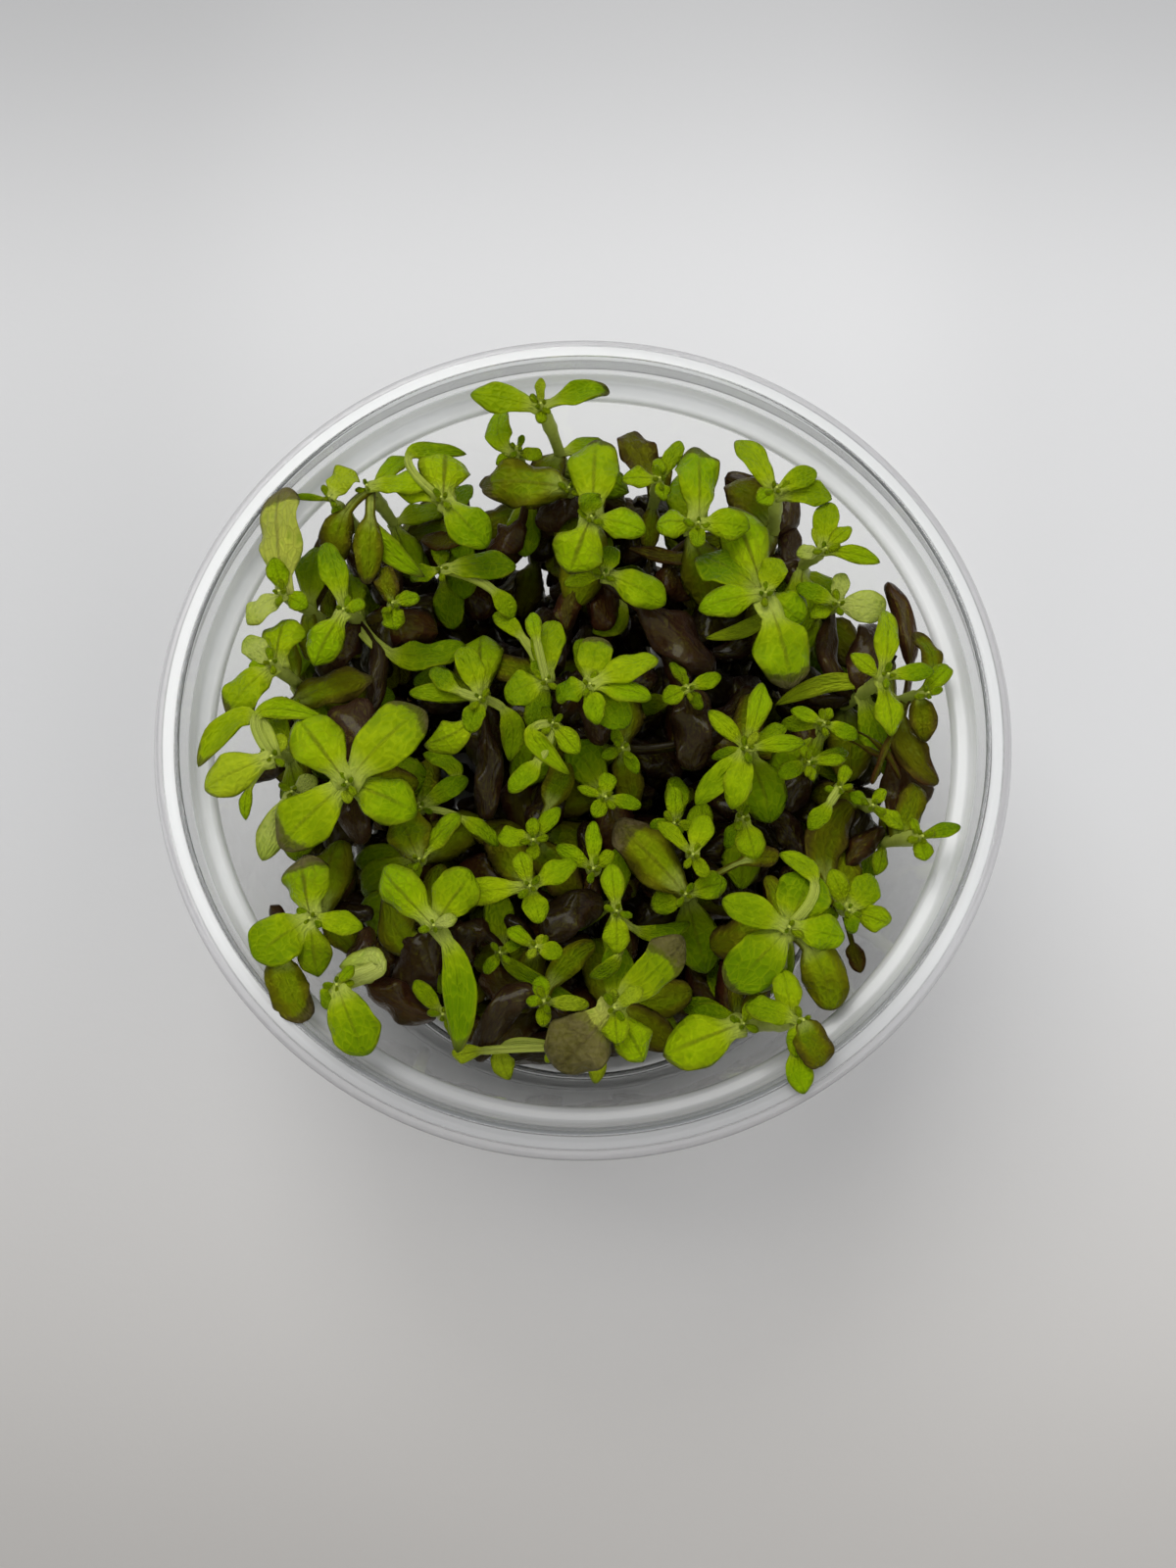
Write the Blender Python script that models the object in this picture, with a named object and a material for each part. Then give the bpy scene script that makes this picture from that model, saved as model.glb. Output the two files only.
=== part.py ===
"""Bacopa shoots crowded in a clear round plastic tub. Metres, +Z up.

The origin is the centre of the tub's foot, on the surface that the tub stands on. The layout
is worked out in millimetres and becomes metres when a mesh is made.
"""

import itertools
import math
from collections import namedtuple

import bmesh
import bpy
from mathutils import Quaternion, Vector
from mathutils.bvhtree import BVHTree

MM = 0.001
UP = Vector((0.0, 0.0, 1.0))

# The tub
RIM_RADIUS = 50.0
RIM_TOP = 60.0
SKIRT_DEPTH = 5.0
MOUTH_RADIUS = 47.0
LEDGE_HEIGHT = 55.2
LEDGE_RADIUS = 44.6
FLOOR_TOP = 2.0
FLOOR_RADIUS = 40.6
WALL = 0.8
FOOT_RADIUS = 38.4
FOOT_RING_WIDTH = 1.8
BASE_RECESS = 1.2
TUB_STEPS = 40

# The plants
SEEN_FROM = Vector((0.6, -43.0, 190.7))
STEM_RADIUS = 0.75
SIDE_STEM_RADIUS = 0.64
SIDE_FORKS = (14.0, 20.0, 10.0, 26.0, 32.0, 7.0, 38.0)
STEM_SIDES = 5
STEM_PARTS = 3
STEM_TAPER = 0.12
STEM_TO_WALL = 1.6
STEM_TO_STEM = 0.9
LEVEL_STEP = 4.0
LEVELS = 16
BUD_HEIGHT = 1.2
GAP = 0.3
FOOT_HEIGHT = FLOOR_TOP + GAP
FOOT_LIMIT = 35.0
FOOT_SPREAD = 2.0
BEND_LIMIT = 38.5
SPIRAL_STEPS = 160
SPIRAL_TURN = 2.39996
SPIRAL_SPREAD = 0.75
LEAF_THICKNESS = 0.56
LEAF_RINGS = (0.4, 0.82)
OUTER_RINGS = (0.5, 0.82)
LEAF_FULLNESS = 1.06
NECK_SHARE = 0.24
BLADE_POWER = 1.25
BLADE_ROUNDNESS = 0.62
OLD_BLADE_POWER = 0.95
OLD_BLADE_ROUNDNESS = 0.4
OLD_LOOKS = "okrg"
THICK_LOOKS = "kr"
THICK_LEAF_THICKNESS = 1.0
LEAF_BOW = 0.2
SHORT_NECK = 0.04
NECK_LOW = 0.12
NECK_HIGH = 0.6
NECK_TO_PLACE = 0.85
YOUNG_LEAF_ROLL = 0.6
OLD_LEAF_ROLL = 0.9
OLD_LEAF_FOLD = 0.5
LOWEST_LEAF = 5.0
LEAF_STAGGER = 0.35
STAGGERED_LEAVES = 7
SHORTEST_SOLID_LEAF = 4.1

# How far a leaf that meets another may drop, tip up or down, turn and shrink, and what that costs
DROPS = (0.0, -0.8, 0.8, -1.6, 1.6, -2.4, -3.2, -4.2, -5.4, -7.0, -9.0, -12.0, -16.0)
TILTS = (0.0, -1.2, 1.2, -2.4, 2.4, -4.0, 4.0)
TURNS = (0.0, -6.0, 6.0, -13.0, 13.0)
SIZES = (1.0, 0.85, 0.68)
TILT_COST = 0.8
TURN_COST = 0.22
SIZE_COST = 14.0

Shoot = namedtuple("Shoot", "seen height leaves passes", defaults=(None,))
Row = namedtuple("Row", "azimuth length width rise look start fold", defaults=(None, 0.35))
OldLeaf = namedtuple("OldLeaf", "start tip width height look")
Stem = namedtuple("Stem", "top bend foot radius")
Leaf = namedtuple("Leaf", "base bend tip up width neck fold look")

# Each leaf: azimuth, length and width as seen on the rim's plane, rise of its tip, colour word.
# Colour words: b bright, m mid green, y yellow, p pale, o olive, k black, r red-brown, g grey.
# A digit after the letter says how far the tip has browned.
PLANTS = {
    "plant_north_tall": (
        Shoot((-5.3, 40.3), 62.5, (
            Row(170, 9.0, 3.9, 0.6, "b1"), Row(14, 9.0, 3.0, 0.8, "b4", None, 1.0),
            Row(92, 4.0, 1.4, 1.8, "y0"), Row(268, 2.6, 1.6, 0.6, "b0"),
        ), (-1.7, 30.0, 44.0)),
    ),
    "plant_north_slim": (
        Shoot((-8.2, 34.3), 57.0, (
            Row(99, 6.5, 3.5, 0.4, "b2", (-9.0, 34.0)), Row(340, 3.4, 1.8, 0.8, "b0"),
            Row(220, 3.4, 1.6, 0.6, "b0"),
        ), (-6.0, 20.3, 32.0)),
    ),
    "plant_north_broad": (
        Shoot((1.0, 24.8), 60.0, (
            Row(87, 11.5, 6.4, 0.6, "b3"), Row(345, 7.0, 4.0, 0.8, "b1"), Row(250, 8.0, 6.6, -0.6, "b3"),
            Row(95, 3.6, 3.4, 2.4, "m0"),
        )),
        Shoot((2.5, 17.3), 55.0, (
            Row(333, 8.5, 4.5, 0.4, "b1"), Row(195, 5.0, 2.0, 0.4, "b0"), Row(75, 4.0, 3.0, 0.6, "m1"),
        )),
        Shoot((-1.7, 28.7), 57.0, (
            Row(175, 11.5, 6.0, -0.6, "o5"), Row(40, 3.0, 2.0, 1.0, "b0"),
        )),
    ),
    "plant_north_pair": (
        Shoot((9.4, 30.0), 58.0, (
            Row(180, 4.7, 2.8, 0.6, "b0"), Row(92, 3.0, 1.8, 1.0, "b0"), Row(62, 6.0, 2.2, 0.4, "b1"),
            Row(280, 3.0, 2.0, 0.0, "m1"),
        )),
    ),
    "plant_north_spoon": (
        Shoot((14.0, 24.0), 59.5, (
            Row(88, 11.0, 5.6, 0.4, "b5"), Row(178, 5.5, 4.2, 0.8, "b1"), Row(355, 6.5, 4.0, 0.6, "b1"),
            Row(265, 3.2, 2.2, 0.6, "b0"),
        )),
    ),
    "plant_northeast_tall": (
        Shoot((23.7, 28.7), 61.5, (
            Row(123, 8.5, 3.6, 0.0, "b2"), Row(25, 5.5, 2.8, 0.6, "b0"), Row(352, 7.0, 3.2, 0.2, "b1"),
            Row(215, 3.0, 2.6, 0.8, "b0"),
        ), (23.1, 19.5, 42.0)),
    ),
    "plant_northeast_slim": (
        Shoot((29.3, 20.6), 60.0, (
            Row(85, 6.5, 3.2, 0.6, "b1"), Row(42, 4.5, 2.0, 0.6, "b0"), Row(345, 6.7, 2.2, 0.2, "b0"),
            Row(115, 3.2, 1.2, 1.2, "y0"), Row(190, 3.6, 2.0, 0.2, "p0"),
        ), (24.5, 18.0, 44.0)),
        Shoot((30.5, 13.5), 57.5, (
            Row(80, 4.2, 2.2, 0.6, "p0"), Row(155, 5.5, 2.2, 0.4, "b0"), Row(350, 6.0, 4.0, 0.2, "p1"),
            Row(205, 4.0, 2.2, 0.2, "b0"),
        )),
    ),
    "plant_northeast_broad": (
        Shoot((21.8, 14.8), 58.5, (
            Row(108, 13.2, 6.0, 0.2, "b4"), Row(70, 5.0, 3.4, 0.6, "b0"),
            Row(147, 9.5, 6.0, -1.4, "m2"), Row(320, 6.0, 4.8, 0.2, "b1"), Row(192, 8.4, 4.2, -0.4, "b1"),
            Row(283, 10.0, 7.2, -0.4, "b5", (22.5, 12.6)),
        )),
    ),
    "plant_east_upright": (
        Shoot((35.8, 4.5), 60.5, (
            Row(87, 8.5, 3.2, 0.2, "b1"), Row(147, 5.0, 2.2, 0.8, "b0"), Row(271, 7.5, 3.5, 0.2, "b1"),
            Row(5, 5.5, 2.2, 0.6, "b0"),
        ), (30.5, 0.7, 44.0)),
        Shoot((40.3, 2.2), 60.0, (
            Row(50, 4.5, 2.2, 0.8, "b2", None, 1.0), Row(262, 6.0, 3.2, -0.8, "o3"),
            Row(110, 5.5, 2.5, -0.2, "o5", (41.0, 4.8)),
        )),
    ),
    "plant_east_small": (
        Shoot((26.0, -6.2), 55.0, (
            Row(5, 4.4, 1.6, 0.4, "b0"), Row(205, 4.0, 2.1, 0.4, "b0"), Row(15, 5.0, 1.8, -1.8, "m1"),
            Row(280, 2.2, 1.2, 0.6, "b0"), Row(110, 2.4, 1.3, 0.8, "b0"),
        )),
        Shoot((28.0, -1.5), 56.0, (
            Row(155, 4.2, 1.8, 0.4, "b0"), Row(335, 4.2, 2.0, 0.4, "b0"), Row(180, 5.0, 2.0, -1.8, "m1"),
            Row(65, 2.2, 1.3, 0.8, "b0"),
        )),
    ),
    "plant_east_fan": (
        Shoot((18.9, -4.5), 57.0, (
            Row(133, 6.3, 2.2, 0.4, "b0"), Row(55, 2.5, 1.2, 1.0, "y0"), Row(74, 8.4, 2.8, 0.2, "b1"),
            Row(30, 5.6, 2.0, -0.4, "b0"), Row(195, 4.3, 1.4, -1.4, "m1"),
            Row(228, 9.0, 3.0, 0.0, "b1"), Row(255, 7.5, 3.4, 0.2, "b1"), Row(5, 7.0, 2.1, 0.4, "b0"),
        )),
    ),
    "plant_east_low": (
        Shoot((33.0, -11.3), 54.5, (
            Row(322, 4.5, 2.1, 0.2, "b0"), Row(150, 3.0, 1.6, 0.2, "m0"), Row(50, 2.6, 1.5, 0.6, "b0"),
        )),
        Shoot((29.4, -9.2), 54.0, (
            Row(230, 4.0, 2.2, 0.2, "b0", (28.2, -11.0)), Row(70, 3.0, 1.6, 0.4, "b0"),
        )),
    ),
    "plant_east_edge": (
        Shoot((38.4, -14.9), 61.5, (
            Row(115, 2.4, 1.2, 0.8, "b0"), Row(15, 4.7, 1.8, 0.4, "b0"), Row(275, 2.8, 2.4, 0.4, "b1"),
        ), (35.4, -15.6, 50.0)),
    ),
    "plant_east_cup": (
        Shoot((18.2, -12.7), 52.5, (
            Row(285, 5.2, 3.6, 0.2, "b1"), Row(240, 4.0, 2.0, -0.8, "m1"), Row(95, 3.2, 1.8, 0.4, "m0"),
        )),
    ),
    "plant_middle_west": (
        Shoot((-4.3, 3.8), 58.0, (
            Row(88, 8.0, 4.0, 0.4, "b1"), Row(125, 3.0, 1.7, 1.0, "b0"), Row(200, 5.5, 4.5, 0.0, "b1"),
            Row(100, 3.5, 2.0, -0.6, "b0", (-5.5, 9.0)),
        )),
    ),
    "plant_middle_star": (
        Shoot((0.8, 3.3), 58.5, (
            Row(80, 6.5, 4.3, 0.6, "b5"), Row(25, 9.0, 4.0, 0.2, "b1"), Row(348, 7.5, 3.2, 0.2, "b1"),
            Row(310, 7.0, 4.4, -0.4, "b2"), Row(200, 4.5, 3.5, -0.8, "m1"), Row(280, 5.0, 2.7, 0.2, "b1"),
        )),
        Shoot((-3.5, -1.5), 55.5, (
            Row(310, 4.8, 2.7, 0.2, "b1"), Row(303, 7.0, 2.4, -0.8, "b1", (-5.3, -1.7), 0.8),
            Row(225, 4.7, 2.8, 0.2, "b1", (-5.3, -6.2)), Row(120, 2.4, 1.4, 0.8, "b0"),
        )),
    ),
    "plant_middle_left": (
        Shoot((-12.0, 1.6), 56.0, (
            Row(108, 7.2, 3.4, 0.4, "b1"), Row(255, 4.3, 2.8, 0.4, "b1"), Row(175, 8.5, 2.2, 0.0, "b1"),
            Row(205, 6.5, 4.0, -1.0, "b2", (-13.0, -1.0)), Row(135, 4.5, 2.4, -0.4, "m1", (-14.5, 2.5)),
        )),
    ),
    "plant_middle_bud": (
        Shoot((4.6, -4.5), 52.5, (
            Row(300, 3.5, 1.6, 0.4, "b0"), Row(115, 2.7, 1.4, 0.6, "b0"), Row(205, 2.7, 1.5, 0.2, "m0"),
        )),
        Shoot((12.3, 2.8), 52.5, (
            Row(205, 3.4, 2.4, 0.2, "b0"), Row(20, 4.2, 2.0, 0.2, "b0"), Row(120, 4.0, 1.6, -0.8, "m1"),
            Row(300, 3.0, 1.6, 0.0, "m0"),
        )),
    ),
    "plant_middle_south": (
        Shoot((2.6, -10.3), 52.5, (
            Row(85, 3.0, 2.2, 0.4, "b0"), Row(160, 3.5, 1.2, 0.4, "b0"), Row(240, 2.7, 2.0, 0.4, "b0"),
            Row(345, 4.2, 1.8, 0.2, "b0"),
        )),
    ),
    "plant_southeast_small": (
        Shoot((12.4, -17.0), 54.0, (
            Row(70, 5.0, 2.9, 0.2, "b1"), Row(135, 5.5, 1.8, 0.2, "b0"), Row(300, 3.0, 1.8, 0.2, "b0"),
        )),
        Shoot((10.4, -13.4), 52.5, (
            Row(90, 4.5, 2.2, 0.4, "b0"), Row(350, 2.7, 1.4, 0.4, "b0"), Row(185, 2.8, 1.5, 0.2, "m0"),
        )),
    ),
    "plant_south_olive": (
        Shoot((11.5, -21.5), 51.5, (
            Row(133, 12.0, 5.6, 0.0, "o7"), Row(0, 3.0, 2.5, -0.4, "o2", (19.0, -17.4)),
            Row(18, 5.2, 3.2, -0.2, "m2"), Row(200, 4.2, 3.0, -0.4, "m2"),
        )),
    ),
    "plant_south_left": (
        Shoot((-5.6, -15.3), 53.0, (
            Row(52, 4.8, 2.0, 0.4, "b0"), Row(92, 2.7, 1.6, 0.6, "b0"), Row(272, 2.4, 1.6, 0.4, "b0"),
            Row(175, 4.2, 2.7, 0.2, "b1"),
        )),
    ),
    "plant_south_cross": (
        Shoot((-5.9, -20.6), 54.0, (
            Row(108, 4.3, 2.5, 0.4, "b0"), Row(28, 6.0, 3.0, 0.2, "b1"), Row(187, 9.0, 3.2, -0.2, "b2"),
            Row(285, 4.3, 3.0, 0.2, "b1"),
        )),
    ),
    "plant_south_twins": (
        Shoot((-5.1, -27.4), 53.0, (
            Row(148, 4.0, 2.0, 0.4, "b0"), Row(345, 3.0, 2.2, 0.4, "b0"), Row(235, 1.6, 1.1, 0.8, "y0"),
            Row(60, 1.6, 1.1, 0.8, "y0"),
        )),
        Shoot((-9.1, -28.0), 50.0, (
            Row(235, 2.8, 1.6, 0.4, "b0"), Row(30, 2.8, 1.4, 0.0, "m0"),
        )),
    ),
    "plant_south_yellow": (
        Shoot((-4.2, -33.3), 54.0, (
            Row(100, 2.8, 2.1, 0.4, "b0"), Row(268, 2.8, 1.7, 0.4, "b0"), Row(355, 5.0, 1.8, 0.0, "y1"),
            Row(180, 2.0, 1.3, 0.6, "b0"),
        )),
    ),
    "plant_south_arch": (
        Shoot((1.2, -18.6), 53.0, (
            Row(90, 5.6, 1.9, 0.4, "b0"), Row(40, 3.0, 1.7, 0.4, "b0"), Row(148, 5.0, 2.2, 0.6, "b0"),
        )),
        Shoot((3.8, -23.4), 55.0, (
            Row(97, 5.6, 2.7, 0.2, "b1"), Row(270, 4.8, 3.0, 0.2, "b1"),
            Row(215, 4.0, 2.0, -1.6, "m1", (4.0, -28.3)),
        )),
    ),
    "plant_south_broad": (
        Shoot((3.5, -34.0), 59.0, (
            Row(226, 9.7, 7.0, -0.6, "y9"), Row(43, 11.0, 4.8, 0.2, "b9"), Row(300, 6.8, 4.4, 0.0, "b1"),
            Row(275, 4.0, 3.0, 0.6, "b0"), Row(35, 3.8, 1.8, 1.2, "y0"), Row(95, 2.2, 1.3, 1.4, "y0"),
        )),
        Shoot((-3.5, -38.2), 49.0, (
            Row(275, 3.5, 2.2, -0.4, "y1", (1.0, -38.6)), Row(285, 3.2, 2.6, -0.4, "y1", (-8.6, -38.6)),
            Row(190, 3.0, 2.0, -0.4, "y1", (-11.2, -38.6)),
        )),
    ),
    "plant_southwest_long": (
        Shoot((-16.5, -25.0), 58.0, (
            Row(279, 13.0, 3.8, -0.4, "b2", (-15.6, -26.0)), Row(135, 9.7, 5.0, -0.4, "b2"),
            Row(55, 7.8, 5.5, 0.2, "b2"), Row(20, 2.7, 1.6, 0.8, "p0"),
        )),
    ),
    "plant_west_olive": (
        Shoot((-18.4, -17.5), 54.0, (
            Row(115, 6.5, 5.0, 0.0, "o2"), Row(50, 7.0, 3.0, 0.0, "m2"), Row(250, 3.4, 2.2, -0.6, "m1"),
        )),
        Shoot((-18.5, -11.5), 50.0, (
            Row(32, 6.4, 2.4, -0.4, "m2"), Row(323, 5.3, 2.2, -0.4, "m1", (-13.7, -12.8)),
        )),
    ),
    "plant_west_four_leaf": (
        Shoot((-27.0, -8.6), 61.0, (
            Row(128, 10.8, 6.4, 0.4, "b2"), Row(48, 12.8, 6.8, 0.4, "b5"), Row(338, 9.0, 6.0, 0.6, "b1"),
            Row(225, 10.8, 6.4, 0.2, "b5"), Row(95, 2.4, 1.5, 1.4, "y0"), Row(275, 2.4, 1.5, 1.4, "y0"),
        )),
    ),
    "plant_west_edge": (
        Shoot((-35.8, -5.5), 61.6, (
            Row(205, 9.0, 5.0, 0.2, "y2"), Row(222, 8.5, 3.5, 0.2, "b2", (-38.0, -1.0), 1.0),
            Row(0, 8.0, 2.6, -0.4, "b0", (-38.0, -0.8)), Row(268, 3.8, 1.5, 0.0, "b0", (-38.2, -9.2)),
            Row(70, 3.0, 2.0, 0.6, "y0"),
        )),
        Shoot((-33.2, -9.7), 57.5, (
            Row(250, 8.5, 3.5, 0.0, "p1"), Row(30, 3.2, 2.2, 0.4, "p0"),
        )),
    ),
    "plant_west_spike": (
        Shoot((-36.7, 6.1), 61.2, (
            Row(80, 6.5, 5.0, 0.4, "b4"), Row(140, 4.5, 3.0, 0.2, "p1"), Row(231, 8.2, 4.8, 0.2, "b5"),
            Row(190, 2.7, 1.8, 0.8, "b0"),
        ), (-32.5, 2.6, 47.0)),
        Shoot((-34.5, 1.0), 54.0, (
            Row(19, 10.5, 4.3, -0.2, "o3"), Row(205, 3.2, 2.2, 0.0, "o2"),
        )),
    ),
    "plant_northwest_long": (
        Shoot((-36.3, 15.0), 61.2, (
            Row(96, 14.8, 6.4, 1.6, "y5"), Row(103, 4.7, 2.6, 2.6, "b0"),
            Row(225, 5.5, 4.0, 0.0, "p1"), Row(330, 4.0, 2.5, 0.2, "b0"),
        )),
    ),
    "plant_northwest_slim": (
        Shoot((-28.5, 12.7), 59.0, (
            Row(106, 9.3, 3.5, 0.4, "b1"), Row(245, 7.8, 4.5, 0.0, "b1"), Row(20, 2.7, 2.0, 0.8, "b0"),
        )),
        Shoot((-22.7, 13.5), 55.5, (
            Row(105, 5.0, 2.8, 0.0, "o2"), Row(275, 3.4, 3.3, 0.2, "b1"), Row(15, 3.4, 2.0, -0.2, "m1"),
        )),
    ),
    "plant_northwest_edge": (
        Shoot((-31.0, 27.5), 58.0, (
            Row(60, 5.0, 4.0, 0.4, "y2"), Row(178, 4.8, 0.9, 0.2, "b0"), Row(300, 3.0, 1.8, 0.2, "m1"),
        )),
    ),
    "plant_northwest_olive": (
        Shoot((-26.5, 29.0), 57.0, (
            Row(42, 6.5, 2.8, 0.2, "m1"), Row(8, 7.6, 3.4, -0.4, "b1"),
            Row(270, 8.5, 3.6, -1.0, "o3", (-26.0, 24.5)), Row(265, 8.0, 4.0, -1.8, "o3", (-29.0, 25.5)),
            Row(310, 11.0, 3.0, -1.4, "m2", (-26.0, 25.5)),
        )),
    ),
    "plant_north_left": (
        Shoot((-17.3, 27.4), 58.5, (
            Row(87, 7.6, 6.6, 0.6, "b1"), Row(312, 8.6, 5.2, 0.2, "b1"),
            Row(4, 7.2, 2.4, -2.0, "m1", (-21.6, 33.0)), Row(160, 6.8, 3.6, 0.0, "b1"),
        )),
        Shoot((-17.0, 18.0), 50.5, (
            Row(3, 9.0, 4.0, 0.0, "m1"), Row(300, 4.0, 2.5, -0.4, "m1", (-10.5, 15.0)),
            Row(200, 4.0, 2.4, -0.4, "m1"), Row(95, 3.4, 2.2, 0.2, "m0"),
        )),
    ),
    "plant_southwest_broad": (
        Shoot((-30.3, -24.2), 60.2, (
            Row(103, 7.8, 6.0, 0.4, "m7"), Row(350, 6.0, 2.8, 0.4, "b1"), Row(280, 6.7, 4.0, -0.8, "m1"),
            Row(215, 7.5, 6.0, 0.6, "b2"), Row(300, 6.5, 4.5, -1.8, "o4", (-33.0, -29.4)),
        )),
    ),
    "plant_southwest_edge": (
        Shoot((-26.9, -31.5), 61.6, (
            Row(295, 8.5, 5.4, 0.4, "b1"), Row(240, 3.0, 2.4, 0.6, "b0"), Row(50, 2.7, 1.5, 0.8, "b0"),
            Row(180, 4.5, 4.2, -0.6, "p1", (-22.5, -29.5)),
        )),
    ),
    "plant_southwest_low": (
        Shoot((-15.2, -34.7), 50.0, (
            Row(132, 5.0, 2.0, 0.2, "b0"), Row(310, 3.0, 1.7, 0.2, "m0"), Row(40, 2.8, 1.5, 0.2, "m0"),
        )),
    ),
    "plant_southeast_broad": (
        Shoot((22.9, -25.2), 60.8, (
            Row(157, 8.0, 3.8, 0.2, "b1"), Row(65, 6.8, 6.3, 0.6, "b1"),
            Row(140, 5.0, 2.6, -1.0, "b0", (26.0, -20.0)), Row(350, 6.5, 4.0, 0.2, "b1"),
            Row(225, 9.8, 6.0, 0.0, "b4"), Row(285, 7.3, 5.0, -0.8, "o2", (25.2, -27.5)),
        )),
    ),
    "plant_southeast_slim": (
        Shoot((29.6, -23.3), 58.0, (
            Row(110, 5.0, 2.6, 0.2, "b0"), Row(48, 5.0, 3.5, 0.2, "b1"), Row(342, 5.0, 3.0, 0.0, "b1"),
            Row(280, 2.7, 1.8, 0.4, "b0"),
        )),
    ),
    "plant_southeast_edge": (
        Shoot((24.0, -35.3), 61.8, (
            Row(110, 6.0, 3.2, 0.2, "b1"), Row(165, 6.5, 3.4, -0.8, "m1"), Row(290, 5.5, 4.0, 0.0, "o2"),
            Row(260, 4.0, 3.0, 0.4, "b1"), Row(280, 4.6, 3.0, 0.8, "b1", (23.1, -38.6)),
        ), (17.6, -36.4, 47.0)),
        Shoot((17.5, -35.7), 57.0, (
            Row(200, 9.7, 6.0, -0.4, "b2"), Row(60, 3.0, 1.8, 0.4, "b0"),
        )),
    ),
}

# Old leaves low in the tub: where each is first seen, where its tip is seen, width and height.
OLD_LEAVES = (
    OldLeaf((30.9, 2.6), (29.7, 14.0), 3.0, 49, "k"), OldLeaf((38.6, 6.8), (37.5, 16.4), 2.4, 52, "r"),
    OldLeaf((7.8, 12.8), (16.0, 5.2), 6.0, 50, "k"), OldLeaf((12.4, 2.0), (12.3, -7.2), 4.8, 47, "k"),
    OldLeaf((13.5, -3.0), (20.5, 3.0), 4.0, 45, "k"), OldLeaf((-32.0, 14.0), (-32.4, 26.4), 3.4, 50, "k"),
    OldLeaf((5.5, 20.8), (13.8, 20.8), 2.2, 48, "g"), OldLeaf((13.4, 14.8), (10.2, 17.6), 3.8, 46, "r"),
    OldLeaf((36.8, -3.0), (37.0, -15.5), 5.5, 48, "r"), OldLeaf((37.0, -1.0), (41.0, -8.8), 3.8, 54, "g"),
    OldLeaf((27.2, -19.0), (32.4, -7.2), 7.2, 49, "o"), OldLeaf((30.0, -18.0), (36.0, -14.5), 3.0, 45, "r"),
    OldLeaf((24.5, -19.0), (21.0, -12.5), 3.0, 45, "k"), OldLeaf((2.2, -22.0), (-4.2, -26.2), 4.6, 47, "k"),
    OldLeaf((1.5, -27.0), (-3.5, -31.5), 3.0, 47, "o"),
    OldLeaf((-5.2, -32.8), (-11.3, -39.8), 3.4, 48, "k"),
    OldLeaf((-3.0, -38.0), (-8.4, -39.6), 3.4, 44, "k"),
    OldLeaf((-11.0, -26.0), (-14.5, -29.5), 4.0, 44, "k"),
    OldLeaf((-17.8, -26.5), (-22.3, -21.0), 5.0, 48, "o"),
    OldLeaf((-21.5, -26.8), (-21.5, -31.3), 3.0, 45, "r"),
    OldLeaf((-14.6, -36.0), (-23.2, -31.4), 4.8, 47, "r"),
    OldLeaf((-17.0, -27.5), (-18.5, -31.5), 4.0, 42, "k"),
    OldLeaf((-31.5, -26.0), (-34.5, -22.7), 2.0, 50, "k"),
    OldLeaf((-25.5, -19.5), (-29.0, -23.0), 4.0, 46, "r"), OldLeaf((8.2, 30.0), (5.6, 36.8), 4.4, 52, "g"),
    OldLeaf((24.4, 23.6), (17.4, 30.2), 3.6, 50, "k"), OldLeaf((26.2, 16.0), (25.4, 24.0), 3.0, 50, "k"),
    OldLeaf((-24.5, 8.0), (-25.5, -1.0), 2.2, 48, "k"), OldLeaf((-23.0, 7.5), (-14.0, 8.5), 4.0, 48, "m"),
    OldLeaf((-2.0, 10.0), (-1.0, 15.0), 3.0, 47, "r"), OldLeaf((1.0, 10.0), (4.5, 13.5), 4.0, 45, "m"),
    OldLeaf((-12.0, 20.5), (-8.0, 23.5), 4.0, 47, "r"), OldLeaf((-1.5, 27.5), (-6.0, 24.5), 4.4, 50, "k"),
    OldLeaf((-2.0, -6.0), (-3.5, -10.5), 3.5, 46, "o"),
    OldLeaf((-11.0, -3.5), (-11.2, -13.0), 3.2, 47, "k"),
    OldLeaf((30.0, -27.5), (31.0, -31.5), 3.0, 50, "g"),
)


def material(name, colour, roughness, transmission=0.0):
    made = bpy.data.materials.new(name)
    made.use_nodes = True
    shader = made.node_tree.nodes["Principled BSDF"]
    shader.inputs["Base Color"].default_value = (*colour, 1.0)
    shader.inputs["Roughness"].default_value = roughness
    shader.inputs["Metallic"].default_value = 0.0
    shader.inputs["Transmission Weight"].default_value = transmission
    return made


def new_object(name, points, faces, made_of, collection):
    """A closed mesh from points in millimetres, with its faces turned outwards."""
    mesh = bpy.data.meshes.new(name)
    mesh.from_pydata([tuple(point * MM) for point in points], [], faces)
    shape = bmesh.new()
    shape.from_mesh(mesh)
    bmesh.ops.recalc_face_normals(shape, faces=shape.faces)
    bmesh.ops.triangulate(shape, faces=shape.faces)
    shape.to_mesh(mesh)
    shape.free()
    mesh.materials.append(made_of)
    thing = bpy.data.objects.new(name, mesh)
    collection.objects.link(thing)
    return thing


# The tub

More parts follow.
